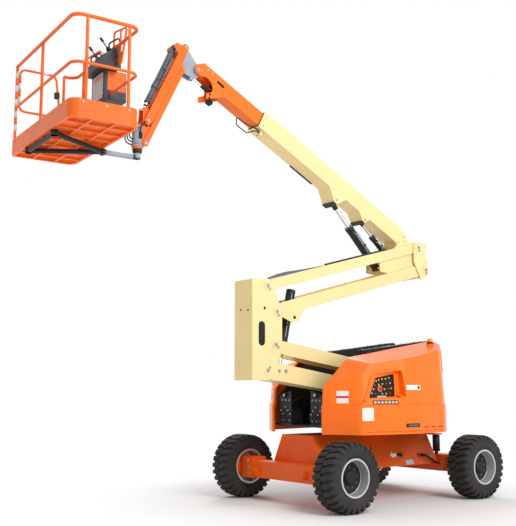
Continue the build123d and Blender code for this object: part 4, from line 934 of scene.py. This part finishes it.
# turntable: roof bolts and plates, compartment box with its hoses and fittings
roof = {"start": -0.25, "foot": 1.925, "rise": 0.160, "run": 1.250, "up": (-0.127, 0, 0.992),
        "boltsAt": (-0.15, 0.10, 0.35, 0.60, 0.85), "rows": (0.270, 0.390)}
wall = -1.000  # the compartment's front
mesh = bmesh.new()
for side in (-1, 1):
    for x in roof["boltsAt"]:
        z = roof["foot"] + (x - roof["start"]) * roof["rise"] / roof["run"]
        for y in roof["rows"]:
            addBolt(mesh, (x, side * y, z), roof["up"], 0.008, 0)
    addPrism(mesh, [(0.18, 1.9812), (0.34, 2.0017), (0.34, 2.0032), (0.18, 1.9827)], side * 0.30, side * 0.37,
             1)
    for y in (0.23, 0.30, 0.37):
        for z in (1.28, 1.02):
            addBolt(mesh, (wall, side * y, z), (-1, 0, 0), 0.008, 0)
    addBox(mesh, (-0.960, side * 0.240, 0.966), (-0.760, side * 0.420, 1.180), 2, 0.010)
    for i, x in enumerate((-0.93, -0.88, -0.83, -0.79)):
        line = rounded([(x, side * (0.25 + 0.02 * i), 1.17), (x, side * (0.25 + 0.02 * i), 1.26 + 0.02 * i),
                        (x + 0.16, side * 0.33, 1.30), (x + 0.30, side * 0.36, 1.10)], 0.07)
        addTube(mesh, line, 0.009, 3)
    for i in range(5):
        y, z = side * (0.205 + 0.045 * i), 1.10 + 0.045 * (i % 3)
        addRod(mesh, (wall, y, z), (-1.016, y, z), 0.011, 0, 12)
        pipe = rounded([(-1.010, y, z), (-1.030, y, z - 0.03), (-1.028, y + side * 0.02, 1.00),
                        (wall, y, 0.985)],
                       0.03)
        addTube(mesh, pipe, 0.006, 3)
    addRod(mesh, (wall, side * 0.300, 1.345), (-1.030, side * 0.300, 1.345), 0.030, 2, 24)
    addRod(mesh, (-1.030, side * 0.300, 1.345), (-1.034, side * 0.300, 1.345), 0.018, 1, 20)
endPiece("turntableDetails", mesh, "turntable", ("boltSteel", "signGrey", "matteBlack", "rubberHose"))
print("hoods and turntable dressed")

# hoses: the route points of the solids that they stand for, with their corners rounded before the spline
def hosePoints(points, place):
    return [place @ Vector(point) for point in points]


def addHose(name, points, diameter, body, node, bend):
    curve = bpy.data.curves.new(name, "CURVE")
    curve.dimensions = "3D"
    spline = curve.splines.new("NURBS")
    path = rounded(points, bend, 4)
    spline.points.add(len(path) - 1)
    for point, place in zip(spline.points, path):
        point.co = (*place, 1)
    spline.order_u = 3
    spline.use_endpoint_u = True
    spline.resolution_u = 4
    curve.bevel_depth = diameter / 2
    curve.bevel_resolution = 4
    curve.use_fill_caps = True
    curve.materials.append(finish["rubberHose"])
    hose = bpy.data.objects.new(name, curve)
    bpy.context.scene.collection.objects.link(hose)
    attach(hose, body)
    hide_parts(node)


tipHose = [(2.836, -0.055, -0.012), (2.935, -0.055, -0.012), (3.045, -0.055, -0.048), (3.222, -0.055, -0.066),
           (3.180, -0.055, -0.158), (3.000, -0.055, -0.150), (2.900, -0.055, -0.034), (2.836, -0.055, -0.034)]
wheelHose = [(0.745, -0.430, 0.540), (0.770, -0.490, 0.548), (0.880, -0.518, 0.478), (0.965, -0.518, 0.430),
             (1.040, -0.518, 0.430)]
addHose("tipHose", hosePoints(tipHose, boomPlace), 0.014, "main_boom", "tip_hose", 0.030)
addHose("wheelHose", hosePoints(wheelHose, machine), 0.030, "chassis", "wheel_hose", 0.040)
print("hoses laid")

# camera, lights, floor and sky
view = {"place": (axleMiddle.x - 8.178, -8.431, 1.438), "turn": 52.42, "lift": 8.22, "lens": 58.48,
        "sensor": 36, "shiftY": 0.0025, "farthest": 200}
camera = bpy.data.objects.new("camera", bpy.data.cameras.new("camera"))
bpy.context.scene.collection.objects.link(camera)
camera.data.lens = view["lens"]
camera.data.sensor_width = view["sensor"]
camera.data.shift_y = view["shiftY"]
camera.data.clip_end = view["farthest"]
camera.location = view["place"]
camera.rotation_euler = (radians(90 + view["lift"]), 0, radians(view["turn"] - 90))
bpy.context.scene.camera = camera

lamps = {
    "keyLight": {"place": (-1.5, -12.0, 11.0), "aim": (0, 0, 1.5), "size": 6.0, "power": 1080},
    "fillLight": {"place": (4.0, -12.0, 5.0), "aim": (0, 0, 2.0), "size": 8.0, "power": 380},
    "rimLight": {"place": (6.0, 9.0, 9.0), "aim": (0, 0, 2.0), "size": 6.0, "power": 500},
}
for name, lamp in lamps.items():
    data = bpy.data.lights.new(name, "AREA")
    data.shape = "DISK"
    data.size = lamp["size"]
    data.energy = lamp["power"]
    light = bpy.data.objects.new(name, data)
    light.location = lamp["place"]
    light.rotation_euler = (Vector(lamp["aim"]) - Vector(lamp["place"])).to_track_quat("-Z", "Y").to_euler()
    bpy.context.scene.collection.objects.link(light)

studio = {"half": 60.0, "floor": (0.86, 0.86, 0.86), "skyLight": 0.55, "skySeen": 1.0,
          "fadeStart": 1.6, "fadeEnd": 3.6}
floorMesh = bpy.data.meshes.new("studioFloor")
half = studio["half"]
floorMesh.from_pydata([(-half, -half, 0), (half, -half, 0), (half, half, 0), (-half, half, 0)], [],
                      [(0, 1, 2, 3)])
floor = bpy.data.objects.new("studioFloor", floorMesh)
paleFloor = paint("paleFloor", {"color": studio["floor"], "rough": 0.9, "shade": 0.99, "light": 1.0})
tree = paleFloor.node_tree
texture = next(node for node in tree.nodes if node.type == "TEX_COORD")
reach = tree.nodes.new("ShaderNodeVectorMath")
reach.operation = "DISTANCE"
reach.inputs[1].default_value = (axleMiddle.x, 0, 0)
tree.links.new(texture.outputs["Object"], reach.inputs[0])
fade = tree.nodes.new("ShaderNodeMapRange")
fade.interpolation_type = "SMOOTHSTEP"
fade.inputs["From Min"].default_value = studio["fadeStart"]
fade.inputs["From Max"].default_value = studio["fadeEnd"]
tree.links.new(reach.outputs["Value"], fade.inputs["Value"])
glow = tree.nodes.new("ShaderNodeEmission")
glow.inputs["Color"].default_value = (1, 1, 1, 1)
glow.inputs["Strength"].default_value = 1.0
blend = tree.nodes.new("ShaderNodeMixShader")
tree.links.new(fade.outputs["Result"], blend.inputs["Fac"])
tree.links.new(tree.nodes["Principled BSDF"].outputs["BSDF"], blend.inputs[1])
tree.links.new(glow.outputs["Emission"], blend.inputs[2])
tree.links.new(blend.outputs["Shader"], tree.nodes["Material Output"].inputs["Surface"])
floorMesh.materials.append(paleFloor)
bpy.context.scene.collection.objects.link(floor)

world = bpy.data.worlds.new("studioWorld")
bpy.context.scene.world = world
world.use_nodes = True
sky = world.node_tree
sky.nodes.clear()
skyOut = sky.nodes.new("ShaderNodeOutputWorld")
lit = sky.nodes.new("ShaderNodeBackground")
lit.inputs["Color"].default_value = (1, 1, 1, 1)
lit.inputs["Strength"].default_value = studio["skyLight"]
seen = sky.nodes.new("ShaderNodeBackground")
seen.inputs["Color"].default_value = (1, 1, 1, 1)
seen.inputs["Strength"].default_value = studio["skySeen"]
path = sky.nodes.new("ShaderNodeLightPath")
either = sky.nodes.new("ShaderNodeMath")
either.operation = "MAXIMUM"
both = sky.nodes.new("ShaderNodeMath")
both.operation = "MAXIMUM"
choose = sky.nodes.new("ShaderNodeMixShader")
sky.links.new(path.outputs["Is Camera Ray"], either.inputs[0])
sky.links.new(path.outputs["Is Glossy Ray"], either.inputs[1])
sky.links.new(either.outputs[0], both.inputs[0])
sky.links.new(path.outputs["Is Transmission Ray"], both.inputs[1])
sky.links.new(both.outputs[0], choose.inputs["Fac"])
sky.links.new(lit.outputs["Background"], choose.inputs[1])
sky.links.new(seen.outputs["Background"], choose.inputs[2])
sky.links.new(choose.outputs["Shader"], skyOut.inputs["Surface"])
bpy.context.scene.view_settings.view_transform = "Standard"
print("camera, lights and floor placed")
